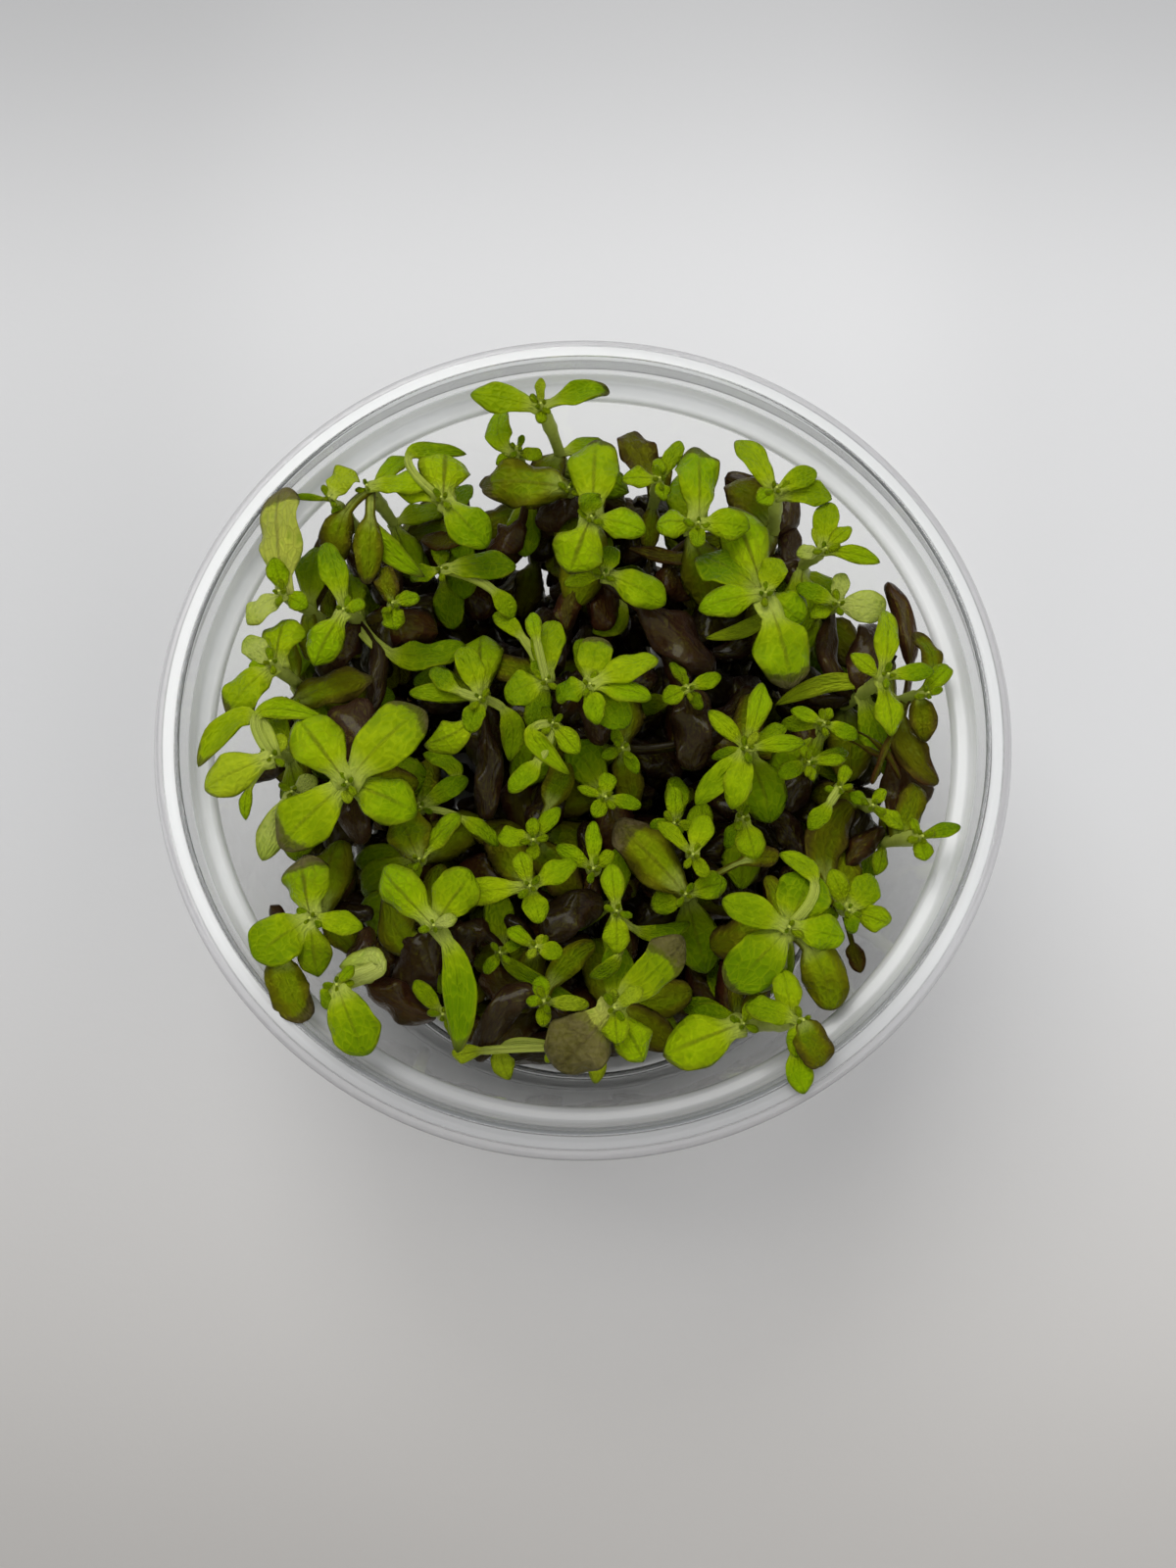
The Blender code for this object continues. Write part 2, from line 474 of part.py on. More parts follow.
def tub_profile():
    """The turned outline from the middle of the inside floor, over the rim, to the middle underneath."""
    wall_lean = (LEDGE_RADIUS - FLOOR_RADIUS) / (LEDGE_HEIGHT - FLOOR_TOP)
    inside_low = FLOOR_RADIUS + wall_lean * 3.0
    return (
        (0.0, FLOOR_TOP),
        (FLOOR_RADIUS - 2.2, FLOOR_TOP),
        (FLOOR_RADIUS - 0.6, FLOOR_TOP + 0.8),
        (inside_low, FLOOR_TOP + 3.0),
        (LEDGE_RADIUS, LEDGE_HEIGHT),
        (LEDGE_RADIUS + 1.8, LEDGE_HEIGHT + 0.5),
        (MOUTH_RADIUS, RIM_TOP - 0.3),
        (MOUTH_RADIUS + 0.3, RIM_TOP),
        (RIM_RADIUS - 0.5, RIM_TOP),
        (RIM_RADIUS, RIM_TOP - 0.4),
        (RIM_RADIUS - 0.1, RIM_TOP - SKIRT_DEPTH),
        (RIM_RADIUS - 0.1 - WALL, RIM_TOP - SKIRT_DEPTH),
        (RIM_RADIUS - 0.1 - WALL, RIM_TOP - 1.0),
        (MOUTH_RADIUS + 1.0, RIM_TOP - WALL),
        (MOUTH_RADIUS + 0.55, LEDGE_HEIGHT - 0.3),
        (LEDGE_RADIUS + WALL, LEDGE_HEIGHT - 0.9),
        (inside_low + WALL, FLOOR_TOP + 2.6),
        (FLOOR_RADIUS + 0.1, 0.9),
        (FOOT_RADIUS, 0.0),
        (FOOT_RADIUS - FOOT_RING_WIDTH, 0.0),
        (FOOT_RADIUS - FOOT_RING_WIDTH - 0.8, BASE_RECESS),
        (0.0, BASE_RECESS),
    )


def make_tub(made_of):
    mesh = bpy.data.meshes.new("tub")
    shape = bmesh.new()
    outline = [shape.verts.new((radius * MM, 0.0, height * MM)) for radius, height in tub_profile()]
    edges = [shape.edges.new(pair) for pair in zip(outline, outline[1:])]
    bmesh.ops.spin(
        shape, geom=outline + edges, cent=(0, 0, 0), axis=(0, 0, 1), angle=math.tau, steps=TUB_STEPS,
    )
    bmesh.ops.remove_doubles(shape, verts=shape.verts, dist=0.00002)
    bmesh.ops.recalc_face_normals(shape, faces=shape.faces)
    shape.to_mesh(mesh)
    shape.free()
    mesh.shade_smooth()
    mesh.set_sharp_from_angle(angle=math.radians(40))
    mesh.materials.append(made_of)
    bpy.context.scene.collection.objects.link(bpy.data.objects.new("tub", mesh))


def inside_radius(height):
    """Radius of the free space in the tub at this height."""
    if height > RIM_TOP + GAP:
        return math.inf
    if height > LEDGE_HEIGHT + 1.0:
        return MOUTH_RADIUS - 0.6
    lean = (LEDGE_RADIUS - FLOOR_RADIUS) / (LEDGE_HEIGHT - FLOOR_TOP)
    return FLOOR_RADIUS + lean * (min(height, LEDGE_HEIGHT) - FLOOR_TOP)


# Where things are

def sight(seen, height):
    """The point at this height that SEEN_FROM shows at this place on the rim's plane."""
    scale = (SEEN_FROM.z - height) / (SEEN_FROM.z - RIM_TOP)
    return Vector((
        SEEN_FROM.x + (seen[0] - SEEN_FROM.x) * scale, SEEN_FROM.y + (seen[1] - SEEN_FROM.y) * scale, height,
    ))


def seen_place(point):
    """The place on the rim's plane at which SEEN_FROM shows this point."""
    scale = (SEEN_FROM.z - RIM_TOP) / (SEEN_FROM.z - point.z)
    return Vector((
        SEEN_FROM.x + (point.x - SEEN_FROM.x) * scale, SEEN_FROM.y + (point.y - SEEN_FROM.y) * scale,
    ))


def held_within(point, radius):
    """The point, moved in towards the tub's axis if it is further out than radius."""
    share = min(1.0, radius / max(math.hypot(point.x, point.y), 1e-6))
    return Vector((point.x * share, point.y * share, point.z))


def noise(number):
    """A fixed number from 0 to 1 that looks like chance."""
    return math.sin(number * 12.9898) * 43758.5453 % 1.0


# Stems

def stem_point(stem, height):
    share = (stem.top.z - height) / (stem.top.z - stem.foot.z)
    rest = 1.0 - share
    return rest * rest * stem.top + 2.0 * share * rest * stem.bend + share * share * stem.foot


def stem_between(shoot, foot, radius, sway):
    """A stem from foot up to the shoot's centre, bent so that it passes the place where it is seen."""
    top = sight(shoot.seen, shoot.height)
    middle = (top.z + foot.z) / 2.0
    if shoot.passes:
        through = sight(shoot.passes[:2], shoot.passes[2])
        share = (top.z - through.z) / (top.z - foot.z)
        rest = 1.0 - share
        bend = (through - rest * rest * top - share * share * foot) / (2.0 * share * rest)
    else:
        bend = sight(shoot.seen, middle)
    bend = held_within(bend + sway, BEND_LIMIT)
    return Stem(top, Vector((bend.x, bend.y, middle)), foot, radius)


def stems_clear(stem, placed):
    levels = [FOOT_HEIGHT + LEVEL_STEP * step for step in range(LEVELS)]
    for height in levels:
        if not stem.foot.z <= height <= stem.top.z:
            continue
        here = stem_point(stem, height)
        if math.hypot(here.x, here.y) > inside_radius(height) - STEM_TO_WALL:
            return False
        for other in placed:
            if not other.foot.z <= height <= other.top.z:
                continue
            if (stem_point(other, height) - here).length < stem.radius + other.radius + STEM_TO_STEM:
                return False
    return True


def spiral_steps():
    yield Vector((0.0, 0.0, 0.0))
    for step in range(1, SPIRAL_STEPS):
        angle = step * SPIRAL_TURN
        yield Vector((math.cos(angle), math.sin(angle), 0.0)) * SPIRAL_SPREAD * math.sqrt(step)


def main_stem(shoot, placed):
    start = held_within(sight(shoot.seen, FOOT_HEIGHT), FOOT_LIMIT)
    if shoot.passes:
        start = held_within(sight(shoot.passes[:2], FOOT_HEIGHT + LEVEL_STEP * 3), FOOT_LIMIT - 3.0)
    start.z = FOOT_HEIGHT
    for shift in spiral_steps():
        foot = held_within(start + shift, FOOT_LIMIT + FOOT_SPREAD)
        stem = stem_between(shoot, foot, STEM_RADIUS, shift * 0.5)
        if stems_clear(stem, placed):
            return stem
    raise ValueError("no room for a stem")


def side_stem(shoot, parent, placed):
    """A branch that leaves its plant's main stem at the first fork that keeps it clear of other plants."""
    for shift in spiral_steps():
        for fork in SIDE_FORKS:
            stem = stem_between(shoot, stem_point(parent, fork), SIDE_STEM_RADIUS, shift)
            if stems_clear(stem, placed):
                return stem
    raise ValueError("no room for a side stem")


def stem_shape(stem, extra=0.0):
    """Points and faces of a tapered stem with a pointed bud at its top."""
    points = []
    faces = []
    for part in range(STEM_PARTS + 1):
        height = stem.foot.z + (stem.top.z - stem.foot.z) * part / STEM_PARTS
        centre = stem_point(stem, height)
        radius = stem.radius * (1.0 - STEM_TAPER * part / STEM_PARTS) + extra
        for side in range(STEM_SIDES):
            angle = math.tau * side / STEM_SIDES
            points.append(centre + Vector((math.cos(angle), math.sin(angle), 0.0)) * radius)
    points.append(stem.top + UP * (BUD_HEIGHT + extra))
    for part in range(STEM_PARTS):
        for side in range(STEM_SIDES):
            after = (side + 1) % STEM_SIDES
            low = part * STEM_SIDES
            high = low + STEM_SIDES
            faces.append((low + side, low + after, high + after, high + side))
    high = STEM_PARTS * STEM_SIDES
    faces += [(high + side, high + (side + 1) % STEM_SIDES, len(points) - 1) for side in range(STEM_SIDES)]
    faces.append(tuple(reversed(range(STEM_SIDES))))
    return points, faces


# Leaves

def blade_form(leaf):
    """Power that sets where the blade is widest, and how full its outline is. Old leaves are fuller."""
    if leaf.look[0] in OLD_LOOKS:
        return OLD_BLADE_POWER, OLD_BLADE_ROUNDNESS
    return BLADE_POWER, BLADE_ROUNDNESS


def thickness(leaf):
    return THICK_LEAF_THICKNESS if leaf.look[0] in THICK_LOOKS else LEAF_THICKNESS


def blade_share(leaf, along):
    """Half width at this share of the leaf's length, as a share of the widest."""
    if along <= leaf.neck:
        return NECK_SHARE
    blade = (along - leaf.neck) / (1.0 - leaf.neck)
    power, roundness = blade_form(leaf)
    curve = math.sin(math.pi * min(blade, 1.0) ** power)
    return max(NECK_SHARE * (1.0 - blade), max(curve, 0.0) ** roundness)


def leaf_point(leaf, along, angle, extra):
    """A point of the leaf's skin: angle 0 and pi are its edges, the others its upper and lower face."""
    rest = 1.0 - along
    centre = rest * rest * leaf.base + 2.0 * along * rest * leaf.bend + along * along * leaf.tip
    ahead = (rest * (leaf.bend - leaf.base) + along * (leaf.tip - leaf.bend)).normalized()
    side = ahead.cross(leaf.up).normalized()
    normal = side.cross(ahead)
    half_width = blade_share(leaf, along) * leaf.width / 2.0 * LEAF_FULLNESS + extra
    turn = leaf.fold * math.cos(angle)
    across = side * (half_width * math.sin(turn) / math.sin(leaf.fold))
    lift = normal * (half_width * (1.0 - math.cos(turn)) / math.sin(leaf.fold))
    outward = normal * math.cos(turn) - side * math.sin(turn)
    return centre + across + lift + outward * (thickness(leaf) / 2.0 + extra) * math.sin(angle)


def leaf_shape(leaf, extra=0.0, whole=True):
    """Points and faces of a closed leaf from its stem to its tip, or of its outer part alone."""
    points = []
    for share in LEAF_RINGS if whole else OUTER_RINGS:
        along = leaf.neck + (1.0 - leaf.neck) * share
        points += [leaf_point(leaf, along, quarter * math.pi / 2.0, extra) for quarter in range(4)]
    points.append(leaf.tip + (leaf.tip - leaf.bend).normalized() * extra)
    points.append(leaf.base)
    faces = []
    for side in range(4):
        after = (side + 1) % 4
        faces.append((side, after, 4 + after, 4 + side))
        faces.append((4 + side, 4 + after, 8))
        if whole:
            faces.append((after, side, 9))
    return points, faces


def young_leaf(row, stem, shoot, number, change):
    """The leaf of a table row, with its height, tilt, heading and length changed by change."""
    drop, tilt, turn, size = change
    chance = noise(number + 31.0 * row.length)
    stagger = LEAF_STAGGER * (number % STAGGERED_LEAVES)
    base_height = min(shoot.height + drop - stagger, stem.top.z) - 0.3 * chance
    base_height = max(base_height, stem.foot.z + LOWEST_LEAF)
    base = stem_point(stem, base_height)
    start = Vector(row.start) if row.start else Vector(shoot.seen)
    heading = math.radians(row.azimuth + turn)
    reach = Vector((math.cos(heading), math.sin(heading))) * row.length * size
    tip = sight(start + reach, base_height + row.rise + tilt)
    scale = (SEEN_FROM.z - base_height) / (SEEN_FROM.z - RIM_TOP)
    bend = (base + tip) / 2.0 + UP * (tip - base).length * LEAF_BOW * (0.6 + 0.8 * chance)
    neck = SHORT_NECK
    if row.start:
        neck, bend = neck_through(base, sight(start, base_height + 0.6), tip)
    up = Quaternion(tip - base, (chance - 0.5) * YOUNG_LEAF_ROLL) @ UP
    return Leaf(base, bend, tip, up, row.width * size * scale, neck, row.fold, row.look)


def neck_through(base, through, tip):
    """Length share of the neck, and the bend that carries the leaf through this point."""
    first = (through - base).length
    share = min(max(first / (first + (tip - through).length), NECK_LOW), NECK_HIGH)
    rest = 1.0 - share
    bend = (through - rest * rest * base - share * share * tip) / (2.0 * share * rest)
    return share * NECK_TO_PLACE, bend


def old_leaf(row, stem, number, change):
    drop, tilt, turn, size = change
    base_height = min(max(row.height + drop, stem.foot.z + LOWEST_LEAF), stem.top.z)
    base = stem_point(stem, base_height)
    start = Vector(row.start)
    reach = (Vector(row.tip) - start) * size
    reach.rotate(Quaternion(UP, math.radians(turn)).to_euler().to_matrix().to_2x2())
    tip = sight(start + reach, base_height - 1.0 + tilt)
    scale = (SEEN_FROM.z - base_height) / (SEEN_FROM.z - RIM_TOP)
    neck, bend = neck_through(base, sight(start, base_height + 0.4), tip)
    chance = noise(number * 3.7)
    up = Quaternion(tip - base, (chance - 0.5) * OLD_LEAF_ROLL) @ UP
    return Leaf(base, bend, tip, up, row.width * size * scale, neck, OLD_LEAF_FOLD, row.look)


def changes():
    """Ways to move a leaf that meets another, smallest first."""
    found = []
    for drop, tilt, turn, size in itertools.product(DROPS, TILTS, TURNS, SIZES):
        cost = abs(drop) + abs(tilt) * TILT_COST + abs(turn) * TURN_COST + (1.0 - size) * SIZE_COST
        found.append((cost, drop, tilt, turn, size))
    return [entry[1:] for entry in sorted(found)]


class Clearance:
    """Remembers the solids already placed and says whether a new one keeps clear of them."""

    def __init__(self):
        self.kept = []

    @staticmethod
    def box(points):
        ways = [[point[axis] for point in points] for axis in range(3)]
        return [(min(way), max(way)) for way in ways]

    def add(self, owner, shape, outer):
        points, faces = shape
        outer_tree = BVHTree.FromPolygons(*outer) if outer else None
        self.kept.append((owner, self.box(points), BVHTree.FromPolygons(points, faces), outer_tree))

    def clear(self, owner, shape, outer):
        points, faces = shape
        box = self.box(points)
        tree = BVHTree.FromPolygons(points, faces)
        outer_tree = BVHTree.FromPolygons(*outer)
        for other, other_box, other_tree, other_outer in self.kept:
            if any(low > there[1] or high < there[0] for (low, high), there in zip(box, other_box)):
                continue
            if other == owner:
                if other_outer and outer_tree.overlap(other_outer):
                    return False
            elif tree.overlap(other_tree):
                return False
        return True


def in_tub(points):
    """True if no point is in the wall, the floor or the rim."""
    return all(
        point.z > FOOT_HEIGHT and math.hypot(point.x, point.y) < inside_radius(point.z - 0.5) - 0.2
        for point in points
    )


def grow_stems():
    """Every plant's stems: the main stem first, then its side stems."""
    grown = {}
    for plant, shoots in PLANTS.items():
        placed = [stems[0] for stems in grown.values()]
        grown[plant] = [main_stem(shoots[0], placed)]
    for plant, shoots in PLANTS.items():
        for shoot in shoots[1:]:
            others = [stem for owner, stems in grown.items() if owner != plant for stem in stems]
            grown[plant].append(side_stem(shoot, grown[plant][0], others))
    return grown


def grow_leaves(grown):
    """Places every leaf, the highest first, so that no leaf runs through another plant."""
    room = Clearance()
    for plant, stems in grown.items():
        for stem in stems:
            room.add(plant, stem_shape(stem), None)
    waiting = []
    for plant, shoots in PLANTS.items():
        for shoot, stem in zip(shoots, grown[plant]):
            for row in shoot.leaves:
                waiting.append((shoot.height + row.rise / 2.0, plant, stem, shoot, row))
    for row in OLD_LEAVES:
        plant, stem, turned = nearest_stem(grown, row)
        waiting.append((row.height, plant, stem, None, turned))
    waiting.sort(key=lambda entry: -entry[0])
    leaves = {plant: [] for plant in grown}
    for number, (_, plant, stem, shoot, row) in enumerate(waiting):
        for change in changes():
            if shoot:
                leaf = young_leaf(row, stem, shoot, number, change)
            else:
                leaf = old_leaf(row, stem, number, change)
            shape = leaf_shape(leaf, GAP)
            outer = leaf_shape(leaf, GAP, False)
            if in_tub(shape[0]) and room.clear(plant, shape, outer):
                room.add(plant, leaf_shape(leaf), leaf_shape(leaf, 0.0, False))
                leaves[plant].append(leaf)
                break
        else:
            print("no room for", plant, row)
    return leaves


def nearest_stem(grown, row):
    """The plant and stem of an old leaf, and the leaf, turned round if its tip is the nearer end."""
    found = []
    for near, far in ((row.start, row.tip), (row.tip, row.start)):
        blade = (Vector(far) - Vector(near)).length
        for plant, stems in grown.items():
            for stem in stems:
                if stem.top.z < row.height:
                    continue
                place = seen_place(stem_point(stem, row.height))
                away = (place - Vector(near)).length
                detour = away + blade - (place - Vector(far)).length
                found.append((away + detour, plant, stem, row._replace(start=near, tip=far)))
    return min(found, key=lambda entry: entry[0])[1:]


LEAF_COLOURS = {
    "b": (0.26, 0.43, 0.01), "m": (0.10, 0.22, 0.01), "y": (0.36, 0.46, 0.02), "p": (0.46, 0.51, 0.13),
    "o": (0.16, 0.15, 0.01), "k": (0.013, 0.008, 0.005), "r": (0.045, 0.012, 0.004), "g": (0.13, 0.10, 0.05),
}


def make_plant(plant, stems, leaves, helpers):
    """One object: the main stem, with its side stems and leaves joined to it."""
    made_of = material(plant, LEAF_COLOURS[PLANTS[plant][0].leaves[0].look[0]], 0.4)
    group = bpy.data.collections.new(plant + "_joined")
    helpers.children.link(group)
    for number, stem in enumerate(stems[1:]):
        new_object(f"{plant}_side_stem_{number}", *stem_shape(stem), made_of, group)
    for number, leaf in enumerate(leaves):
        if (leaf.tip - leaf.base).length < SHORTEST_SOLID_LEAF:
            continue
        new_object(f"{plant}_leaf_{number}", *leaf_shape(leaf), made_of, group)
    for helper in group.objects:
        helper.hide_render = True
        helper.display_type = "WIRE"
    main = new_object(plant, *stem_shape(stems[0]), made_of, bpy.context.scene.collection)
    join = main.modifiers.new("Join", "BOOLEAN")
    join.operation = "UNION"
    join.solver = "MANIFOLD"
    join.operand_type = "COLLECTION"
    join.collection = group


def main():
    for thing in list(bpy.data.objects):
        bpy.data.objects.remove(thing, do_unlink=True)
    helpers = bpy.data.collections.new("helpers")
    helpers.hide_render = True
    bpy.context.scene.collection.children.link(helpers)
    make_tub(material("clear_plastic", (0.93, 0.95, 0.95), 0.05, 1.0))
    grown = grow_stems()
    leaves = grow_leaves(grown)
    for plant, stems in grown.items():
        make_plant(plant, stems, leaves[plant], helpers)


main()
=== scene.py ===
"""Bacopa shoots crowded in a clear round plastic tub: the looks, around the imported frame.

The layout is worked out in millimetres, as in the construction script, and becomes metres when a
mesh is made. Each plant's leaves and stems come from one Geometry Nodes tree.
"""

import itertools
import math
from collections import namedtuple
from functools import partial, partialmethod

import bmesh
import bpy
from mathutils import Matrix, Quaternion, Vector
from mathutils.bvhtree import BVHTree


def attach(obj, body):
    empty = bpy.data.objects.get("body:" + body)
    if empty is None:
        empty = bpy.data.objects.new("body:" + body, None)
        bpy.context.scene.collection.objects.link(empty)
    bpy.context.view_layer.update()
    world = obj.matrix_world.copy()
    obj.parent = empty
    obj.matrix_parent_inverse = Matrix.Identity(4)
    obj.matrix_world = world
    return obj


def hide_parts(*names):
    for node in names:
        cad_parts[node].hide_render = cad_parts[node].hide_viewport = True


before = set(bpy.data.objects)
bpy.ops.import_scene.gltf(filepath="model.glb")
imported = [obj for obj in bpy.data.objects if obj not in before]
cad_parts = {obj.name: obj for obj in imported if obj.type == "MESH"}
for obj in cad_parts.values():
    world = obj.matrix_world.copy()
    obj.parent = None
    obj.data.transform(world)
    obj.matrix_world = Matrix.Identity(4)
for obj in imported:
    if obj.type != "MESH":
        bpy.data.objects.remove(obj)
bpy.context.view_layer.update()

MM = 0.001
MM_PER_METRE = 1000.0
UP = Vector((0.0, 0.0, 1.0))

# The tub
RIM_RADIUS = 50.0
RIM_TOP = 60.0
SKIRT_DEPTH = 5.0
MOUTH_RADIUS = 47.0
LEDGE_HEIGHT = 55.2
LEDGE_RADIUS = 44.6
FLOOR_TOP = 2.0
FLOOR_RADIUS = 40.6
WALL = 0.8
FOOT_RADIUS = 38.4
FOOT_RING_WIDTH = 1.8
BASE_RECESS = 1.2

# The plants
SEEN_FROM = Vector((0.6, -43.0, 190.7))
STEM_RADIUS = 0.75
SIDE_STEM_RADIUS = 0.64
SIDE_FORKS = (14.0, 20.0, 10.0, 26.0, 32.0, 7.0, 38.0)
STEM_SIDES = 5
STEM_PARTS = 3
STEM_TAPER = 0.12
STEM_TO_WALL = 1.6
STEM_TO_STEM = 0.9
LEVEL_STEP = 4.0
LEVELS = 16
BUD_HEIGHT = 1.2
GAP = 0.3
FOOT_HEIGHT = FLOOR_TOP + GAP
FOOT_LIMIT = 35.0
FOOT_SPREAD = 2.0
BEND_LIMIT = 38.5
SPIRAL_STEPS = 160
SPIRAL_TURN = 2.39996
SPIRAL_SPREAD = 0.75
LEAF_THICKNESS = 0.56
LEAF_RINGS = (0.4, 0.82)
OUTER_RINGS = (0.5, 0.82)
LEAF_FULLNESS = 1.06
NECK_SHARE = 0.24
BLADE_POWER = 1.25
BLADE_ROUNDNESS = 0.62
OLD_BLADE_POWER = 0.95
OLD_BLADE_ROUNDNESS = 0.4
OLD_LOOKS = "okrg"
THICK_LOOKS = "kr"
THICK_LEAF_THICKNESS = 1.0
LEAF_BOW = 0.2
SHORT_NECK = 0.04
NECK_LOW = 0.12
NECK_HIGH = 0.6
NECK_TO_PLACE = 0.85
YOUNG_LEAF_ROLL = 0.6
OLD_LEAF_ROLL = 0.9
OLD_LEAF_FOLD = 0.5
LOWEST_LEAF = 5.0
LEAF_STAGGER = 0.35
STAGGERED_LEAVES = 7

# How far a leaf that meets another may drop, tip up or down, turn and shrink, and what that costs
DROPS = (0.0, -0.8, 0.8, -1.6, 1.6, -2.4, -3.2, -4.2, -5.4, -7.0, -9.0, -12.0, -16.0)
TILTS = (0.0, -1.2, 1.2, -2.4, 2.4, -4.0, 4.0)
TURNS = (0.0, -6.0, 6.0, -13.0, 13.0)
SIZES = (1.0, 0.85, 0.68)
TILT_COST = 0.8
TURN_COST = 0.22
SIZE_COST = 14.0

Shoot = namedtuple("Shoot", "seen height leaves passes", defaults=(None,))
Row = namedtuple("Row", "azimuth length width rise look start fold", defaults=(None, 0.35))
OldLeaf = namedtuple("OldLeaf", "start tip width height look")
Stem = namedtuple("Stem", "top bend foot radius")
Leaf = namedtuple("Leaf", "base bend tip up width neck fold look")

